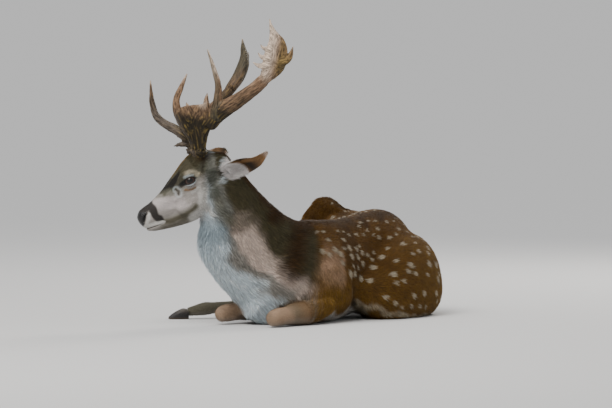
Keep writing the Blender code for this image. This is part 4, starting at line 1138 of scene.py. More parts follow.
def bare_nose(points):
    """1 on the black moist pad of the nose, which ends behind the nostrils."""
    back, up, out = to_head(points)
    edge = np.minimum(3.5 + 0.98 * (up + 0.3), 3.5 - 1.7 * (up + 0.3))
    return (1 - smooth(back - edge, -0.22, 0.22)) * smooth(up, -3.6, -3.2) * (up < 1.2)


def tail_hue(points, normals):
    """Black, and white on the side that faces the haunches."""
    return blend(UMBER, WHITE, smooth(-normals[:, 0], 0.0, 0.5))


def laid(hue, part, paint, *rows):
    """The hue of each point with another laid over it where part is above 0."""
    on = part > 0
    out = np.array(hue)
    out[on] = blend(out[on], paint(*[row[on] for row in rows]), part[on])
    return out


TAIL_LINE = [(0.885, 0.074, 0.225), (0.928, 0.088, 0.165), (0.940, 0.104, 0.070)]


def hues(points, normals, ways, spot_places):
    """The colour of the coat at each point."""
    along, angle = AXIS.read(points)
    on_neck = 1 - smooth(along, NECK_LENGTH * 0.92, NECK_LENGTH * 1.06)
    face, ear, leg = on_face(points), on_ear(points), lower_leg(points)
    rest = (face < 1) * (ear < 1) * (leg < 1)
    trunk = 1.0 * (on_neck < 1) * rest
    hue = np.zeros_like(points)
    hue = laid(hue, trunk, lambda *rows: trunk_hue(*rows, spot_places), points, normals, ways)
    hue = laid(hue, on_neck * rest, neck_hue, points)
    hue = laid(hue, leg, leg_hue, points, normals)
    behind = points[:, 0]
    to_tail = distance_to(points, TAIL_LINE)
    tail = (1 - smooth(to_tail, 0.026, 0.036)) * smooth(behind, 0.89, 0.91)
    hue = overlaid(hue, (WHITE, 0.9 * (1 - smooth(to_tail, 0.05, 0.065)) * smooth(behind, 0.86, 0.885)),
                   (UMBER, 0.8 * hump(to_tail, 0.065, 0.016) * smooth(behind, 0.85, 0.88)))
    hue = laid(hue, tail, tail_hue, points, normals)
    hue = laid(hue, face, face_hue, points)
    head = Face(points, 0.5 * ripple(points, 0.03, 12))
    sides = head.wide > 2
    nape = head.line(1, 0.8, 2.4, (22.8, -8.5), (21.8, -11.5), (21.8, -15.0))
    streak = head.line(1, 0.7, 2.0, (19.8, -4.7), (19.1, -6.4), (18.4, -8.6), (18.3, -10.6))
    poll = head.line(1, 0.4, 1.5, (30.0, -0.2), (28.6, -2.2), (26.8, -4.8))
    temple = head.line(1, 0.8, 2.1, (24.6, -1.5), (23.9, -3.4), (22.9, -6.2))
    hue = overlaid(hue, (OLIVE_GREY, 0.60 * nape * sides), (WHITE, 0.90 * streak * sides),
                   (COOL_WHITE, 0.55 * poll * sides), (TEMPLE, 0.90 * temple * sides))
    return laid(hue, ear, ear_hue, points, normals)


EAR_LINES = {side: [np.array(row[:3]) for row in ear_spine(side)] for side in (1, -1)}


def on_ear(points):
    """1 on the ears, 0 on the head and neck beside their roots."""
    lines = [[a + 0.25 * (b - a), b, *rest] for a, b, *rest in EAR_LINES.values()]
    near = [distance_to(points, line) for line in lines]
    return 1 - smooth(np.minimum(*near), 0.033, 0.037)


def ear_reading(points, side):
    """How far along an ear, 0 at its root, and across it, 1 at its upper edge."""
    line = EAR_LINES[side]
    whole = line[-1] - line[0]
    rows = flow(line, 6)
    across = unit(np.cross(EAR_FACES[side], unit(whole)))
    across = across if across @ RISE > 0 else -across
    near = nearest(points, rows)
    return (points - line[0]) @ whole / (whole @ whole), ((points - rows[near]) @ across) / 0.028


def ear_hue(points, normals):
    """Pale grey behind with a dark upper edge, orange-brown and dusky within."""
    hue = np.zeros((len(points), 3))
    for side, line in EAR_LINES.items():
        mine = distance_to(points, line) < 0.045
        part, across = ear_reading(points, side)
        inner = smooth(normals @ unit(EAR_FACES[side]), -0.1, 0.3)
        hollow = hump(part + 0.12 * across, 0.50, 0.30) * smooth(-across, -0.25, 0.15)
        within = overlaid(
            np.array(TAWNY) * 1.15,
            (UMBER, 0.98 * hollow),
            (EAR_WHITE, 0.90 * (1 - smooth(part + 0.10 * across, 0.28, 0.40))),
            (UMBER, 0.85 * smooth(across, 0.50, 0.75) * hump(part, 0.50, 0.30)),
            (PINK_TAN, 0.60 * smooth(part, 0.88, 0.98)))
        outside = overlaid(
            EAR_WHITE,
            (UMBER, 0.80 * smooth(across, 0.45, 0.9) * smooth(part, 0.25, 0.45)),
            (OLIVE_GREY, 0.5 * smooth(part, 0.55, 0.9)))
        hue = np.where(mine[:, None], blend(outside, within, inner), hue)
    return hue


# --- The lie of the coat ---------------------------------------------------------------

GUIDE_STEPS = 6


def guide_lines():
    """Runs of places along which the hair lies, each from front to back or down a limb."""
    neck = NECK[:0:-1]
    cheek = [(1, -3, 2), (10, -3.5, 3.5), (18, -3, 5.4), (28, -2, 5.4)]
    lines = [
        [on_head(*at) for at in ((0, -0.5), (8, 1.5), (16, 4.2), (24, 6.6), (31, 3.5))],
        [on_head(*at) for at in ((1.5, -6.5), (9, -9), (17, -11), (25, -9.5))],
        *[[on_head(back, up, out * side) for back, up, out in cheek] for side in (1, -1)],
        [(np.array(low) + np.array(high)) / 2 for low, high, *rest in neck],
        [high for low, high, *rest in neck + BARREL[2:]],
        [low for low, high, *rest in neck] + [(0.12, 0.10, 0.03)],
        [(np.array(low) + np.array(high)) / 2 for low, high, *rest in BARREL],
        [(0.47, -0.13, 0.16), (0.60, -0.16, 0.15), (0.74, -0.14, 0.11), (0.86, -0.06, 0.06)],
        [(0.68, 0.17, 0.24), (0.60, 0.16, 0.29), (0.518, 0.13, 0.335), (0.475, 0.16, 0.25)],
        [(0.862, 0.070, 0.235), *TAIL_LINE[1:]],
    ]
    for name, at in LEGS.items():
        if name.startswith("fore"):
            lines.append([(0.26, at["elbow"][1], 0.14), at["elbow"], at["knee"]])
            lines.append([at[joint] for joint in ("knee", "fetlock", "toe")])
        else:
            lines.append([between(at["knee"], at["hock"], 0.25), at["hock"]])
            lines.append([at[joint] for joint in ("hock", "fetlock", "toe")])
    return [[vec(*place) for place in line] for line in [*lines, *EAR_LINES.values()]]


def guides():
    """Places along every guide line, and the line's way at each."""
    rows = [flow(line, GUIDE_STEPS) for line in guide_lines()]
    return np.vstack(rows), np.vstack([units(np.gradient(line, axis=0)) for line in rows])


GUIDE_PLACES, GUIDE_WAYS = guides()


def lie(points, normals):
    """The way each hair lies: along the nearest guides, and down the flanks."""
    ways = np.empty_like(points)
    size = (GUIDE_PLACES ** 2).sum(axis=1) + 1e-5
    for start in range(0, len(points), CHUNK):
        part = slice(start, start + CHUNK)
        gap = (points[part] ** 2).sum(axis=1)[:, None] + size - 2 * points[part] @ GUIDE_PLACES.T
        ways[part] = gap ** -2 @ GUIDE_WAYS
    ways = units(ways)
    body = (1 - on_face(points)) * (1 - lower_leg(points)) * (1 - on_ear(points))
    sideways = 1 - np.abs(normals[:, 2])
    ways[:, 2] -= 0.42 * body * sideways
    ways -= (ways * normals).sum(axis=1)[:, None] * normals
    return units(ways)


# --- Coat ------------------------------------------------------------------------------

TUFTS, SHORT_TUFTS = 104000, 62000
SHORT_HAIR = 0.0080                     # shorter hair is straight, longer hair bends over the skin
PIECE_TUFTS = 18500                     # the most curved tufts in one piece
PATCH = 0.003                           # across a tuft's place on the unwrap
ANTLER_ROOT = 0.019                     # how far from an antler's root no hair grows
TUFT_SINK = 0.0008                      # how deep a tuft is rooted
TUFT_SWING = 0.16                       # how far a tuft leans aside
TUFT_SPANS = ((0.7, 1.25), (0.75, 1.3), (0.6, 1.45))        # how its length, width and lift vary


def coat_size(points):
    """Length, half width and lift of the hair at each point, in metres and as a share."""
    along, angle = AXIS.read(points)
    lean = np.abs(np.degrees(angle))
    neck = 1 - smooth(along, NECK_LENGTH * 0.8, NECK_LENGTH * 1.15)
    poll = smooth(along, 0.02, 0.14)
    length = 0.0150 + 0.0060 * neck * poll + 0.0060 * neck * smooth(lean, 100, 150)
    length += 0.004 * (1 - smooth(lean, 5, 18)) * neck * poll
    width = 0.00078 + 0.0001 * neck
    lift = 0.19 + 0.04 * neck
    back, up, out = to_head(points)
    face_length = 0.0032 + 0.0050 * smooth(back, 5, 24) + 0.003 * smooth(back, 24, 30)
    face_width = 0.00034 + 0.00022 * smooth(back, 5, 24)
    part = np.where(out > 0, ear_reading(points, 1)[0], ear_reading(points, -1)[0])
    ear_length = 0.0060 + 0.0100 * (1 - smooth(part, 0.25, 0.50))
    leg, face, ear = lower_leg(points), on_face(points), on_ear(points)
    length = mixed(mixed(mixed(length, 0.0075, leg), face_length, face), ear_length, ear)
    width = mixed(mixed(mixed(width, 0.00050, leg), face_width, face), 0.00042, ear)
    lift = mixed(mixed(lift, 0.22, leg), 0.20, face)
    tail = 1 - smooth(distance_to(points, TAIL_LINE), 0.025, 0.04)
    return length + 0.012 * tail, width, lift


def bare(points, normals):
    """True where no hair grows: nose, mouth, lids' opening, and under hooves, antlers and belly."""
    gone = bare_nose(points) > 0.5
    gone |= (points[:, 2] < 0.004) & (normals[:, 2] < -0.6)
    gone |= mouth_reading(points) < 0.10
    gone |= nostril_reading(points) < 1.0
    for side in (1, -1):
        far, back, up, facing = eye_reading(points, side)
        gone |= (facing > 0) & (far < 2.4) & (opening(back, up) < 1.22)
        gone |= np.linalg.norm(points - by_crown(0, -0.2, 3.6 * side), axis=1) < ANTLER_ROOT
    for low, high in CLAW_BOXES:
        gone |= ((points > low) & (points < high)).all(axis=1)
    return gone


def claw_box(node):
    """The corners between which a claw's horn takes the place of hair."""
    low, high = (np.array(corner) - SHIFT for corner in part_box(node))
    return low - 0.001, high - 0.006


CLAW_BOXES = [claw_box(node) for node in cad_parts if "_claw_" in node]


def roots(mesh, tallies, draw):
    """Places spread over the skin: the loops of a triangle and the share of each."""
    mesh.calc_loop_triangles()
    loops = values_of(mesh.loop_triangles, "loops", 3, np.int32)
    corners = corners_of(mesh)[loops]
    points, normals = places(mesh), normals_of(mesh)
    trio = points[corners]
    area = np.linalg.norm(np.cross(trio[:, 1] - trio[:, 0], trio[:, 2] - trio[:, 0]), axis=1) / 2
    middles = trio.mean(axis=1)
    facing = units(normals[corners].mean(axis=1))
    length, width, lift = coat_size(middles)
    want = area / (length * width)
    want[bare(middles, facing)] = 0
    out = []
    for tally, low, high in tallies:
        mine = want * (length >= low) * (length < high)
        total = np.cumsum(mine)
        pick = (np.arange(tally) + draw.uniform(0, 1, tally)) / tally * total[-1]
        face = np.minimum(np.searchsorted(total, pick), len(loops) - 1)
        a, b = draw.uniform(0, 1, (2, tally))
        flip = a + b > 1
        a[flip], b[flip] = 1 - a[flip], 1 - b[flip]
        share = np.stack([1 - a - b, a, b], axis=1)
        out.append((loops[face], share))
    return points, normals, out


def tuft_shape(feet, normals, ways, length, width, lift, draw, curved):
    """Points of each tuft: a three-sided spike, bent back over the skin where curved."""
    count = len(feet)
    swing = draw.normal(0, TUFT_SWING, count)[:, None]
    aside = np.cross(normals, ways)
    ways = units(ways + swing * aside)
    aside = np.cross(normals, ways)
    length, width, lift = [(size * draw.uniform(*span, count))[:, None]
                           for size, span in zip((length, width, lift), TUFT_SPANS)]
    foot = feet - normals * TUFT_SINK
    thick, rise = (0.8, 0.8) if curved else (0.9, 1)
    rows = [foot + aside * width, foot - aside * width, foot + normals * width * thick + ways * width]
    if curved:
        middle = foot + ways * length * 0.45 + normals * (TUFT_SINK + length * lift * 0.62)
        rows += [middle + aside * width * 0.8, middle - aside * width * 0.8, middle + normals * width * 0.7]
    rows.append(foot + ways * length + normals * (TUFT_SINK + length * lift * rise))
    return np.stack(rows, axis=1)


# A tuft's faces and its points' shades, for curved (True) and straight tufts.
TUFT_FACES = {True: ((0, 1, 2), (0, 4, 1), (0, 3, 4), (1, 5, 2), (1, 4, 5), (2, 3, 0), (2, 5, 3),
                     (3, 6, 4), (4, 6, 5), (5, 6, 3)),
              False: ((0, 1, 2), (0, 3, 1), (1, 3, 2), (2, 3, 0))}
TUFT_SHADES = {True: (0.80, 0.80, 0.80, 1.0, 1.0, 1.0, 1.10), False: (0.86, 0.86, 0.86, 1.08)}


def coat_piece(name, shapes, hue, at, curved, home):
    """One mesh of tufts, each with its colour and its small patch of OFBake."""
    faces = np.array(TUFT_FACES[curved], np.int32)
    shades = np.array(TUFT_SHADES[curved])
    count, points_each = shapes.shape[:2]
    every = (np.arange(count)[:, None, None] * points_each + faces[None]).reshape(-1, 3)
    mesh = bpy.data.meshes.new(name)
    mesh.vertices.add(count * points_each)
    mesh.vertices.foreach_set("co", shapes.astype(np.float32).ravel())
    mesh.loops.add(every.size)
    mesh.loops.foreach_set("vertex_index", every.ravel())
    mesh.polygons.add(len(every))
    mesh.polygons.foreach_set("loop_start", np.arange(0, every.size, 3, dtype=np.int32))
    mesh.update(calc_edges=True)
    set_colours(mesh, (hue[:, None] * shades[None, :, None]).reshape(-1, 3))
    turn = np.arange(points_each) / points_each * 2 * math.pi
    ring = np.stack([np.cos(turn), np.sin(turn)], axis=1) * PATCH / 2
    uv = (at[:, None] + ring[None]).reshape(-1, 2)
    layer = mesh.uv_layers.new(name="OFBake")
    layer.data.foreach_set("uv", uv[every.ravel()].astype(np.float32).ravel())
    return in_home(name, mesh, home)


def unwrap(skin):
    """An unwrap of the skin's own shape, which the tufts' patches lie on."""
    bpy.ops.object.select_all(action="DESELECT")
    bpy.context.view_layer.objects.active = skin
    skin.select_set(True)
    bpy.ops.object.mode_set(mode="EDIT")
    bpy.ops.mesh.select_all(action="SELECT")
    bpy.ops.uv.smart_project(angle_limit=math.radians(66), island_margin=0.004, rotate_method="AXIS_ALIGNED")
    bpy.ops.object.mode_set(mode="OBJECT")
    skin.data.uv_layers.active.name = "OFBake"


def tuft_hues(points, up, ways, spot_places, draw):
    """The coat's colour at each tuft, varied from tuft to tuft and in clumps."""
    hue = hues(points, up, ways, spot_places)
    spread = 0.23 - 0.11 * smooth(hue.mean(axis=1), 0.1, 0.5)
    hue *= (1 + spread * draw.normal(0, 1, len(hue)).clip(-2, 2.4))[:, None]
    mottle = 0.10 + 0.16 * on_face(points)
    clumps = 0.10 * ripple(points, 0.03, 9) + mottle * ripple(points, 0.006, 10)
    return np.clip(hue * (1 + clumps)[:, None], 0.003, 0.95)


def grow_coat(skin, spot_places, home):
    """The coat's pieces: curved tufts on the body, and short straight ones on face, legs and ears."""
    draw = np.random.default_rng(SEED + 1)
    uv, corners = unwrap_of(skin.data), corners_of(skin.data)
    points, normals, picks = roots(skin.data, ((TUFTS, SHORT_HAIR, 1), (SHORT_TUFTS, 0, SHORT_HAIR)), draw)
    pieces = []
    for (loops, share), curved, kind in zip(picks, (True, False), ("body", "short")):
        feet, up, at = [(rows * share[..., None]).sum(axis=1)
                        for rows in (points[corners[loops]], normals[corners[loops]], uv[loops])]
        up = units(up)
        ways = lie(feet, up)
        hue = tuft_hues(feet, up, ways, spot_places, draw)
        shapes = tuft_shape(feet, up, ways, *coat_size(feet), draw, curved)
        shapes[..., 2] = np.maximum(shapes[..., 2], FLOOR_CLEAR)
        each = PIECE_TUFTS if curved else 2 * PIECE_TUFTS
        for k, start in enumerate(range(0, len(shapes), each)):
            part = slice(start, start + each)
            pieces.append(coat_piece(f"coat_{kind}_{k + 1}", shapes[part], hue[part], at[part], curved, home))
    return pieces


# --- Materials -------------------------------------------------------------------------

class Shader:
    """A material whose colour comes from the points' own hues, and the nodes that change it."""

    def __init__(self, name, **sockets):
        self.material = bpy.data.materials.new(name)
        self.material.use_nodes = True
        self.tree = self.material.node_tree
        self.main = self.tree.nodes["Principled BSDF"]
        for socket, value in sockets.items():
            self.main.inputs[socket.replace("_", " ")].default_value = value
        self.hue = self.add("VertexColor", "Color", layer_name="hue")

    def add(self, kind, result, inputs=(), **settings):
        """A new node's output, each input linked where its value is an output, and set where not."""
        node = self.tree.nodes.new("ShaderNode" + kind)
        changed_to(node, **settings)
        for socket, value in inputs:
            if isinstance(value, bpy.types.NodeSocket):
                self.tree.links.new(value, node.inputs[socket])
            else:
                node.inputs[socket].default_value = value
        return node.outputs[result]

    def noise(self, scale, detail, vector=None, roughness=0.55):
        """Noise from 0 to 1, over the object's own places unless it gets others."""
        vector = vector or self.add("TexCoord", "Object")
        return self.add("TexNoise", "Fac", [("Scale", scale), ("Detail", detail), ("Roughness", roughness),
                                            ("Vector", vector)])

    def toned(self, factor, *stops):
        """The surface's colour: the hue times a grey, which a factor takes from (place, grey) stops."""
        grey = self.add("ValToRGB", "Color", [("Fac", factor)])
        bar = grey.node.color_ramp
        while len(bar.elements) < len(stops):
            bar.elements.new(0.5)
        for element, (place, value) in zip(bar.elements, stops):
            element.position = place
            element.color = (value, value, value, 1)
        tone = self.add("Mix", "Result", [("Factor", 1), ("A", self.hue), ("B", grey)],
                        data_type="RGBA", blend_type="MULTIPLY")
        self.tree.links.new(tone, self.main.inputs["Base Color"])

    def rough(self, factor, low, high):
        """Roughness from low where the factor is 0 to high where it is 1."""
        value = self.add("MapRange", "Result", [("To Min", low), ("To Max", high), ("Value", factor)])
        self.tree.links.new(value, self.main.inputs["Roughness"])

    def bump(self, height, strength, distance):
        normal = self.add("Bump", "Normal", [("Strength", strength), ("Distance", distance),
                                             ("Height", height)])
        self.tree.links.new(normal, self.main.inputs["Normal"])


def hair_material():
    hair = Shader("hair", Roughness=0.60, Specular_IOR_Level=0.14)
    hair.toned(hair.noise(520, 3), (0.25, 0.78), (0.75, 1.0))
    return hair.material


def skin_material():
    """Short hair as bump, and bare black nose leather where it is."""
    skin = Shader("skin", Roughness=0.6, Specular_IOR_Level=0.35)
    skin.toned(skin.noise(900, 3), (0.30, 0.70), (0.70, 1.0))
    moist = skin.add("Attribute", "Fac", attribute_name="bare")
    where = skin.add("TexCoord", "Object")
    pebbles = skin.add("TexVoronoi", "Distance", [("Scale", 620), ("Vector", where)])
    skin.bump(skin.add("Mix", "Result", [("Factor", moist), ("A", skin.noise(1100, 3)), ("B", pebbles)]),
              0.55, 0.0012)
    skin.rough(moist, 0.75, 0.30)
    return skin.material


def horn_material(name, roughness, scale, strength, deep):
    """Horn with furrows along the grain that the points carry."""
    horn = Shader(name, Specular_IOR_Level=0.25)
    furrow = horn.noise(scale, 5, horn.add("Attribute", "Vector", attribute_name="grain"), 0.6)
    horn.toned(furrow, (0.36, 0.28), (0.52, 0.74), (0.66, 1.12))
    speck = horn.noise(scale * 3, 3)
    horn.bump(horn.add("Math", "Value", [(0, speck), (1, 0.35), (2, furrow)], operation="MULTIPLY_ADD"),
              strength, deep)
    horn.rough(furrow, roughness + 0.15, roughness - 0.10)
    return horn.material


def eye_material():
    eye = Shader("eye", Roughness=0.25, Specular_IOR_Level=0.1, Coat_Weight=0.6, Coat_Roughness=0.02,
                 Coat_IOR=1.34)
    eye.tree.links.new(eye.hue, eye.main.inputs["Base Color"])
    eye.bump(eye.noise(300, 2), 0.02, 0.0002)
    return eye.material


# --- Antlers ---------------------------------------------------------------------------

ANTLER_VOXEL = 0.0020
GRAIN_SHARE = 0.14                      # the furrows' grain along a beam, next to 1 across it
HORN_DARK = (0.020, 0.014, 0.006)
HORN_GOLD = (0.270, 0.185, 0.045)
HORN_GREY = (0.190, 0.150, 0.120)
HORN_TAN = (0.320, 0.190, 0.110)
# Olive-brown horn: painted shade on the far antler's palm and on the trez tine.
HORN_SHADE_OLIVE = (0.085, 0.075, 0.045)
# Ivory of the tips, and of the left palm where it is paler partly as painted sunlight.
HORN_IVORY = (0.760, 0.600, 0.470)


def antler_lines(shapes):
    """Places along the middle of every part, the part's way at each, and how far along it they lie."""
    lines, ways, lengths = [], [], []
    for points, faces in shapes:
        rings = (len(points) - 2) // ANTLER_SIDES
        line = points[:rings * ANTLER_SIDES].reshape(rings, ANTLER_SIDES, 3).mean(axis=1)
        lines.append(line)
        ways.append(units(np.gradient(line, axis=0) + 1e-9))
        steps = np.linalg.norm(np.diff(line, axis=0), axis=1)
        lengths.append(np.concatenate([[0], np.cumsum(steps)]))
    return lines, np.vstack(ways), np.concatenate(lengths)


def antler_hue(side, points, normals, furrow, to_tip, trez):
    """Dark gold beams, greyer in front and tan above, with pale tips and an ivory palm on the left that is
    partly painted sunlight; painted shade dulls the right antler's tan and palm to olive, darkens the
    undersides of the upper parts and darkens the trez tine's forward side.
    """
    height = (points[:, 2] - CROWN[2]) * 100
    to_front = (points - CROWN) @ FACING * 100
    edge = to_front + 0.20 * np.maximum(height - 24, 0)                # level along the palm's front
    upper = smooth(height + 1.5 * ripple(points, 0.06, 25), 10, 17)
    palm = smooth(height + 1.2 * ripple(points, 0.05, 26), 19.5, 25.0) * smooth(edge, -20.3, -16.8)
    # The near left antler gets tan above and an ivory palm, partly painted sunlight; the far right one has
    # its tan cut and its palm olive as painted shade.
    lit, palm_hue, palm_part = (upper, HORN_IVORY, 0.97) if side > 0 else (0.25 * upper, HORN_SHADE_OLIVE, 0.75)
    return overlaid(
        HORN_DARK,
        (HORN_GOLD, (0.40 * furrow - 0.02).clip(0, 1)),
        (HORN_GREY, 0.70 * smooth(to_front - 0.5 * height, 0.5, 3.0) * (1 - upper)),
        (HORN_TAN, 0.85 * lit),
        (HORN_GOLD, 0.70 * smooth(-edge, 18.2, 20.6) * upper),
        # Painted shade on the undersides of the upper parts.
        (HORN_DARK, 0.55 * smooth(-normals[:, 2], 0.0, 0.7) * upper * (1 - palm)),
        (palm_hue, palm_part * palm),
        (HORN_TAN, 0.55 * (1 - smooth(to_tip, 0.015, 0.06)) * smooth(height, 4, 10) * (1 - palm)),
        (HORN_IVORY, 0.50 * (1 - smooth(to_tip, 0.004, 0.022)) * smooth(height, 4, 10)),
        # Painted shade on the trez tine's forward-facing side.
        (HORN_SHADE_OLIVE, 0.60 * trez * smooth(-normals @ ALONG, -0.5, 0.3)),
        (HORN_DARK, (0.60 - 0.25 * palm) * np.maximum(-furrow, 0).clip(0, 1)))


def build_antler(side, home):
    """One antler with furrows along its beam and palm, and pearls and a burr at its root."""
    form = antler_form(side)
    shapes = [shape for part in form.values() for shape in part]
    antler = smoothed(remeshed(solid(f"antler_{WORDS[side]}", shapes, home), ANTLER_VOXEL), 4)
    mesh = antler.data
    points, normals = places(mesh), normals_of(mesh)
    lines, ways, lengths = antler_lines(shapes)
    near = nearest(points, np.vstack(lines))
    away = points - np.vstack(lines)[near]
    ahead = (away * ways[near]).sum(axis=1)
    grain = away + ways[near] * (GRAIN_SHARE * lengths[near] - (1 - GRAIN_SHARE) * ahead)[:, None]
    height = (points[:, 2] - CROWN[2]) * 100
    rough = 1 - smooth(height, 14, 27)
    furrow = 0.8 * ripple(grain, 0.0075, 21) + 0.7 * ripple(grain, 0.0042, 22)
    pearl = np.maximum(ripple(points, 0.007, 23), 0) * (1 - smooth(height, 2, 11))
    burr = (1 - smooth(np.abs(height - 0.5), 0.5, 1.3)) * np.maximum(ripple(points, 0.008, 24), -0.3)
    lift = 0.00055 * furrow * (0.35 + 0.65 * rough) + 0.0011 * pearl + 0.0024 * burr
    put_places(mesh, points + normals * lift[:, None])
    tips = np.vstack([shape[0][-1] for shape in shapes])
    to_tip = np.min(np.linalg.norm(points[:, None] - tips[None], axis=2), axis=1)
    trez = [part == "trez" for part in form for shape in form[part]]
    trez = np.repeat(trez, [len(line) for line in lines])[near]
    set_colours(mesh, antler_hue(side, points, normals, furrow, to_tip, trez))
    set_values(mesh, "grain", grain, "FLOAT_VECTOR")
    return finish_piece(antler, "antler", "antler", *[f"antler_{WORDS[side]}_{part}" for part in form])


# --- Eyes and hooves -------------------------------------------------------------------

EYE_SEGMENTS, EYE_RINGS = 96, 64
PUPIL_HALF_LENGTH, PUPIL_HALF_HEIGHT, IRIS = 0.95, 0.68, 1.36      # in centimetres
IRIS_FIBRES = 46
IRIS_BROWN = (0.052, 0.030, 0.024)
EYE_EDGE = (0.030, 0.018, 0.014)
LASHES, LASH_ROWS = 34, 2
LASH_SIZE = (0.0080, 0.00022, -0.15)                               # length, half width and lift
CLAW_VOXEL = 0.0011
CLAW_RINGS = 1600                                                  # radians to a metre from the toe
RING_DEPTH, CLAW_CLEAR = 0.00016, 0.0001
HOOF_DARK, HOOF_PALE, HOOF_WORN = (0.040, 0.036, 0.036), (0.20, 0.17, 0.14), (0.16, 0.115, 0.08)


def build_eye(side, home):
    """A dark eye with a long level pupil and a clear swollen cornea."""
    work = bmesh.new()
    bmesh.ops.create_uvsphere(work, u_segments=EYE_SEGMENTS, v_segments=EYE_RINGS, radius=EYE_RADIUS)
    eye = as_object(f"eyeball_{WORDS[side]}", work, home)
    out, back, up = eye_axes(side)
    points = places(eye.data) @ np.stack([back, up, out])
    along, above, facing = (points @ back) * 100, (points @ up) * 100, points @ out
    bulge = 1 + 0.045 * smooth(facing / EYE_RADIUS, 0.70, 0.98)
    put_places(eye.data, EYES[side] + points * bulge[:, None])
    front = facing > 0
    pupil = np.hypot(along / PUPIL_HALF_LENGTH, above / PUPIL_HALF_HEIGHT)
    iris = np.hypot(along, above)
    fibres = 0.75 + 0.25 * np.sin(np.arctan2(above, along) * IRIS_FIBRES + 2 * ripple(points, 0.004, 31))
    brown = np.array(IRIS_BROWN)[None] * fibres[:, None]
    set_colours(eye.data, overlaid(EYE_EDGE, (brown, (1 - smooth(iris, IRIS - 0.20, IRIS)) * front),
                                   (BLACK, (1 - smooth(pupil, 0.92, 1.05)) * front)))
    return finish_piece(eye, "eye", "eye", f"eye_{WORDS[side]}")


def unwrap_at(skin, places_of):
    """Where on the skin's unwrap each place lies."""
    points, first = np.unique(corners_of(skin.data), return_index=True)
    return unwrap_of(skin.data)[first[nearest(places_of, places(skin.data)[points])]]


def build_lashes(side, skin, home):
    """Dark lashes on the upper lid's rim."""
    draw = np.random.default_rng(SEED + 3)
    out, back, up = eye_axes(side)
    ball = EYE_RADIUS * 100 + LID_THICKNESS
    feet, ways = [], []
    for turn in np.linspace(0.16 * math.pi, 0.90 * math.pi, LASHES):
        for row in range(LASH_ROWS):
            wide = LID_REAR if math.cos(turn) > 0 else LID_FRONT
            along = math.cos(turn) * wide * 0.86 * (1.02 + 0.08 * row)
            above = math.sin(turn) ** 0.85 * LID_TOP * (1.02 + 0.10 * row) + 0.05
            depth = math.sqrt(max(ball ** 2 - along ** 2 - above ** 2, 0.01))
            feet.append(EYES[side] + (along * back + above * up + (depth - 0.05) * out) / 100)
            ways.append(out * 0.9 + up * (0.10 + 0.20 * row) + back * (0.30 + 0.30 * math.cos(turn)))
    feet, ways = np.array(feet), units(np.array(ways))
    above = units(up - (ways @ up)[:, None] * ways)
    sizes = [size * np.ones(len(feet)) for size in LASH_SIZE]
    shapes = tuft_shape(feet, above, ways, *sizes, draw, True)
    hue = np.tile(darker(UMBER, 0.5), (len(feet), 1))
    lashes = coat_piece(f"lashes_{WORDS[side]}", shapes, hue, unwrap_at(skin, feet), True, home)
    return finish_piece(lashes, "hair", "coat")


def build_claw(leg, end, home):
    """One half of a hoof with fine rings round it."""
    node = f"{leg}_claw_{end}"
    shape = solid(node + "_horn", claw_form(leg, end == "outer"), home)
    claw = smoothed(remeshed(shape, CLAW_VOXEL), 3)
    points, normals = places(claw.data), normals_of(claw.data)
    back = np.linalg.norm((points - vec(*LEGS[leg]["toe"]))[:, :2], axis=1)
    rings = np.sin((back + 0.35 * points[:, 2]) * CLAW_RINGS + 1.5 * ripple(points, 0.02, 41))
    points = points + normals * (RING_DEPTH * rings)[:, None]
    points[:, 2] = np.maximum(points[:, 2], CLAW_CLEAR)
    put_places(claw.data, points)
    height = points[:, 2]
    hue = overlaid(HOOF_DARK, (HOOF_PALE, 0.55 * smooth(height, 0.014, 0.030)),
                   (HOOF_WORN, 0.5 * (1 - smooth(height, 0.002, 0.007))))
    set_colours(claw.data, hue * (1 + 0.12 * rings)[:, None])
    set_values(claw.data, "grain", points * (1, 1, 3), "FLOAT_VECTOR")
    return finish_piece(claw, "hoof", "hoof", node)


# --- Scene -----------------------------------------------------------------------------

def finish_piece(obj, material, slot, *nodes):
    """Move a piece from the form's frame to the model's, smooth its shading, give it its material, attach it
    to the root and hide the parts it replaces.
    """
    obj.data.shade_smooth()
    obj.data.materials.append(MATERIALS[material])
    obj.data.transform(Matrix.Translation(Vector(SHIFT)))
    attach(obj, "root")
    if nodes:
        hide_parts(*nodes)
    return obj


CAMERA_TURN = math.radians(-58.0)       # round the deer, from its left side towards its face
CAMERA_DIP = math.radians(2.2)
CAMERA_AWAY = 12.0
LENS, SENSOR = 240.0, 36.0
# How far right of the near knee's place on the floor, and above it, the view is centred.
LOOK_RIGHT, LOOK_UP = 0.1176, 0.3647


def stood(data, place, aim):
    """A camera or lamp at a place, looking along aim."""
    obj = bpy.data.objects.new(data.name, data)
    bpy.context.scene.collection.objects.link(obj)
    obj.location = place
    obj.rotation_mode = "QUATERNION"
    obj.rotation_quaternion = aim.to_track_quat("-Z", "Y")
    return obj


def build_camera():
    """The view from the left and front. Gives the level ways to its right and away from it."""
    right = vec(math.cos(CAMERA_TURN), math.sin(CAMERA_TURN), 0)
    level = vec(-math.sin(CAMERA_TURN), math.cos(CAMERA_TURN), 0)
    ahead = level * math.cos(CAMERA_DIP) - RISE * math.sin(CAMERA_DIP)
    above = np.cross(right, ahead)
    place = Vector(SHIFT - ahead * CAMERA_AWAY + right * LOOK_RIGHT + above * LOOK_UP)
    data = changed_to(bpy.data.cameras.new("camera"), lens=LENS, sensor_width=SENSOR)
    bpy.context.scene.camera = stood(data, place, Vector(ahead))
    return right, level


SKY = 0.62                              # how bright the studio's even light is
FLOOR_PALE = 0.60                       # what the floor reflects
FLOOR_SIZE = 600                        # so wide that its edge is never seen
SUN_TURN = math.radians(36)             # how far the soft main light stands from overhead
LAMP_AIM = Vector((0, 0, 0.3))


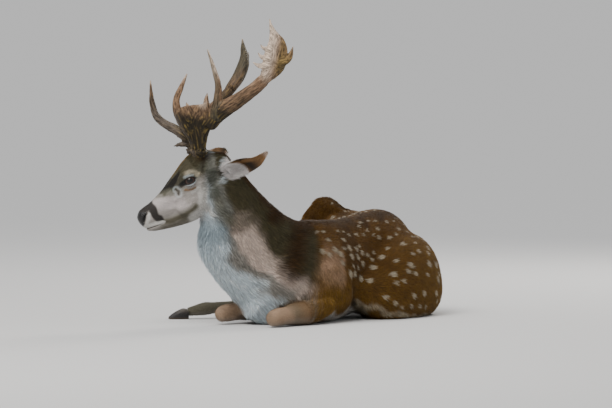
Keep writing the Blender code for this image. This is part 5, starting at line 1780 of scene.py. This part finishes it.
def build_lamp(name, kind, place, aim, energy, **settings):
    stood(changed_to(bpy.data.lights.new(name, kind), energy=energy, **settings), place, aim)


def build_studio(right, level):
    """Even light, a soft main light that makes the floor as bright as the backdrop, and two lamps."""
    side, away, top = Vector(right), Vector(level), Vector((0, 0, 1))
    key = side * -1.2 - away * 2.8 + top * 3.2
    rim = side * 1.9 + away * 2.6 + top * 2.6
    build_lamp("key", "AREA", key, LAMP_AIM - key, 95, shape="DISK", size=1.8, color=(1.0, 0.96, 0.90))
    build_lamp("rim", "AREA", rim, LAMP_AIM - rim, 85, shape="DISK", size=1.6, color=(1.0, 0.95, 0.88))
    fall = (side * 0.55 + away * 0.83) * math.sin(SUN_TURN) - top * math.cos(SUN_TURN)
    build_lamp("main", "SUN", (0, 0, 0), fall, math.pi * SKY * (1 / FLOOR_PALE - 1) / math.cos(SUN_TURN),
               angle=math.radians(50))
    world = bpy.data.worlds.new("studio")
    world.use_nodes = True
    sky = world.node_tree.nodes["Background"]
    sky.inputs["Color"].default_value = (1.0, 1.0, 1.0, 1)
    sky.inputs["Strength"].default_value = SKY
    bpy.context.scene.world = world
    bpy.ops.mesh.primitive_plane_add(size=FLOOR_SIZE)
    floor = bpy.context.object
    floor.name = "floor"
    material = bpy.data.materials.new("floor")
    material.use_nodes = True
    main = material.node_tree.nodes["Principled BSDF"]
    main.inputs["Base Color"].default_value = (FLOOR_PALE, FLOOR_PALE, FLOOR_PALE, 1)
    main.inputs["Roughness"].default_value = 1.0
    main.inputs["Specular IOR Level"].default_value = 0.0
    floor.data.materials.append(material)


home = bpy.data.collections.new("fallow_deer")
bpy.context.scene.collection.children.link(home)
MATERIALS = {
    "hair": hair_material(),
    "skin": skin_material(),
    "antler": horn_material("antler", 0.55, 340, 0.75, 0.0016),
    "hoof": horn_material("hoof", 0.42, 420, 0.30, 0.0005),
    "eye": eye_material(),
}
skin = build_skin(home)
unwrap(skin)
spot_places = spot_rows(BVHTree.FromObject(skin, bpy.context.evaluated_depsgraph_get()))
points, normals = places(skin.data), normals_of(skin.data)
# The skin takes the coat's colours, darkened as painted shade between the tufts.
set_colours(skin.data, SHADE_BETWEEN_TUFTS * hues(points, normals, lie(points, normals), spot_places))
set_values(skin.data, "bare", bare_nose(points))
for piece in grow_coat(skin, spot_places, home):
    finish_piece(piece, "hair", "coat")
for side in (1, -1):
    build_antler(side, home)
    build_eye(side, home)
    build_lashes(side, skin, home)
finish_piece(skin, "skin", "coat", *FLESH_NODES)
for leg in LEGS:
    for end in ("outer", "inner"):
        build_claw(leg, end, home)
build_studio(*build_camera())
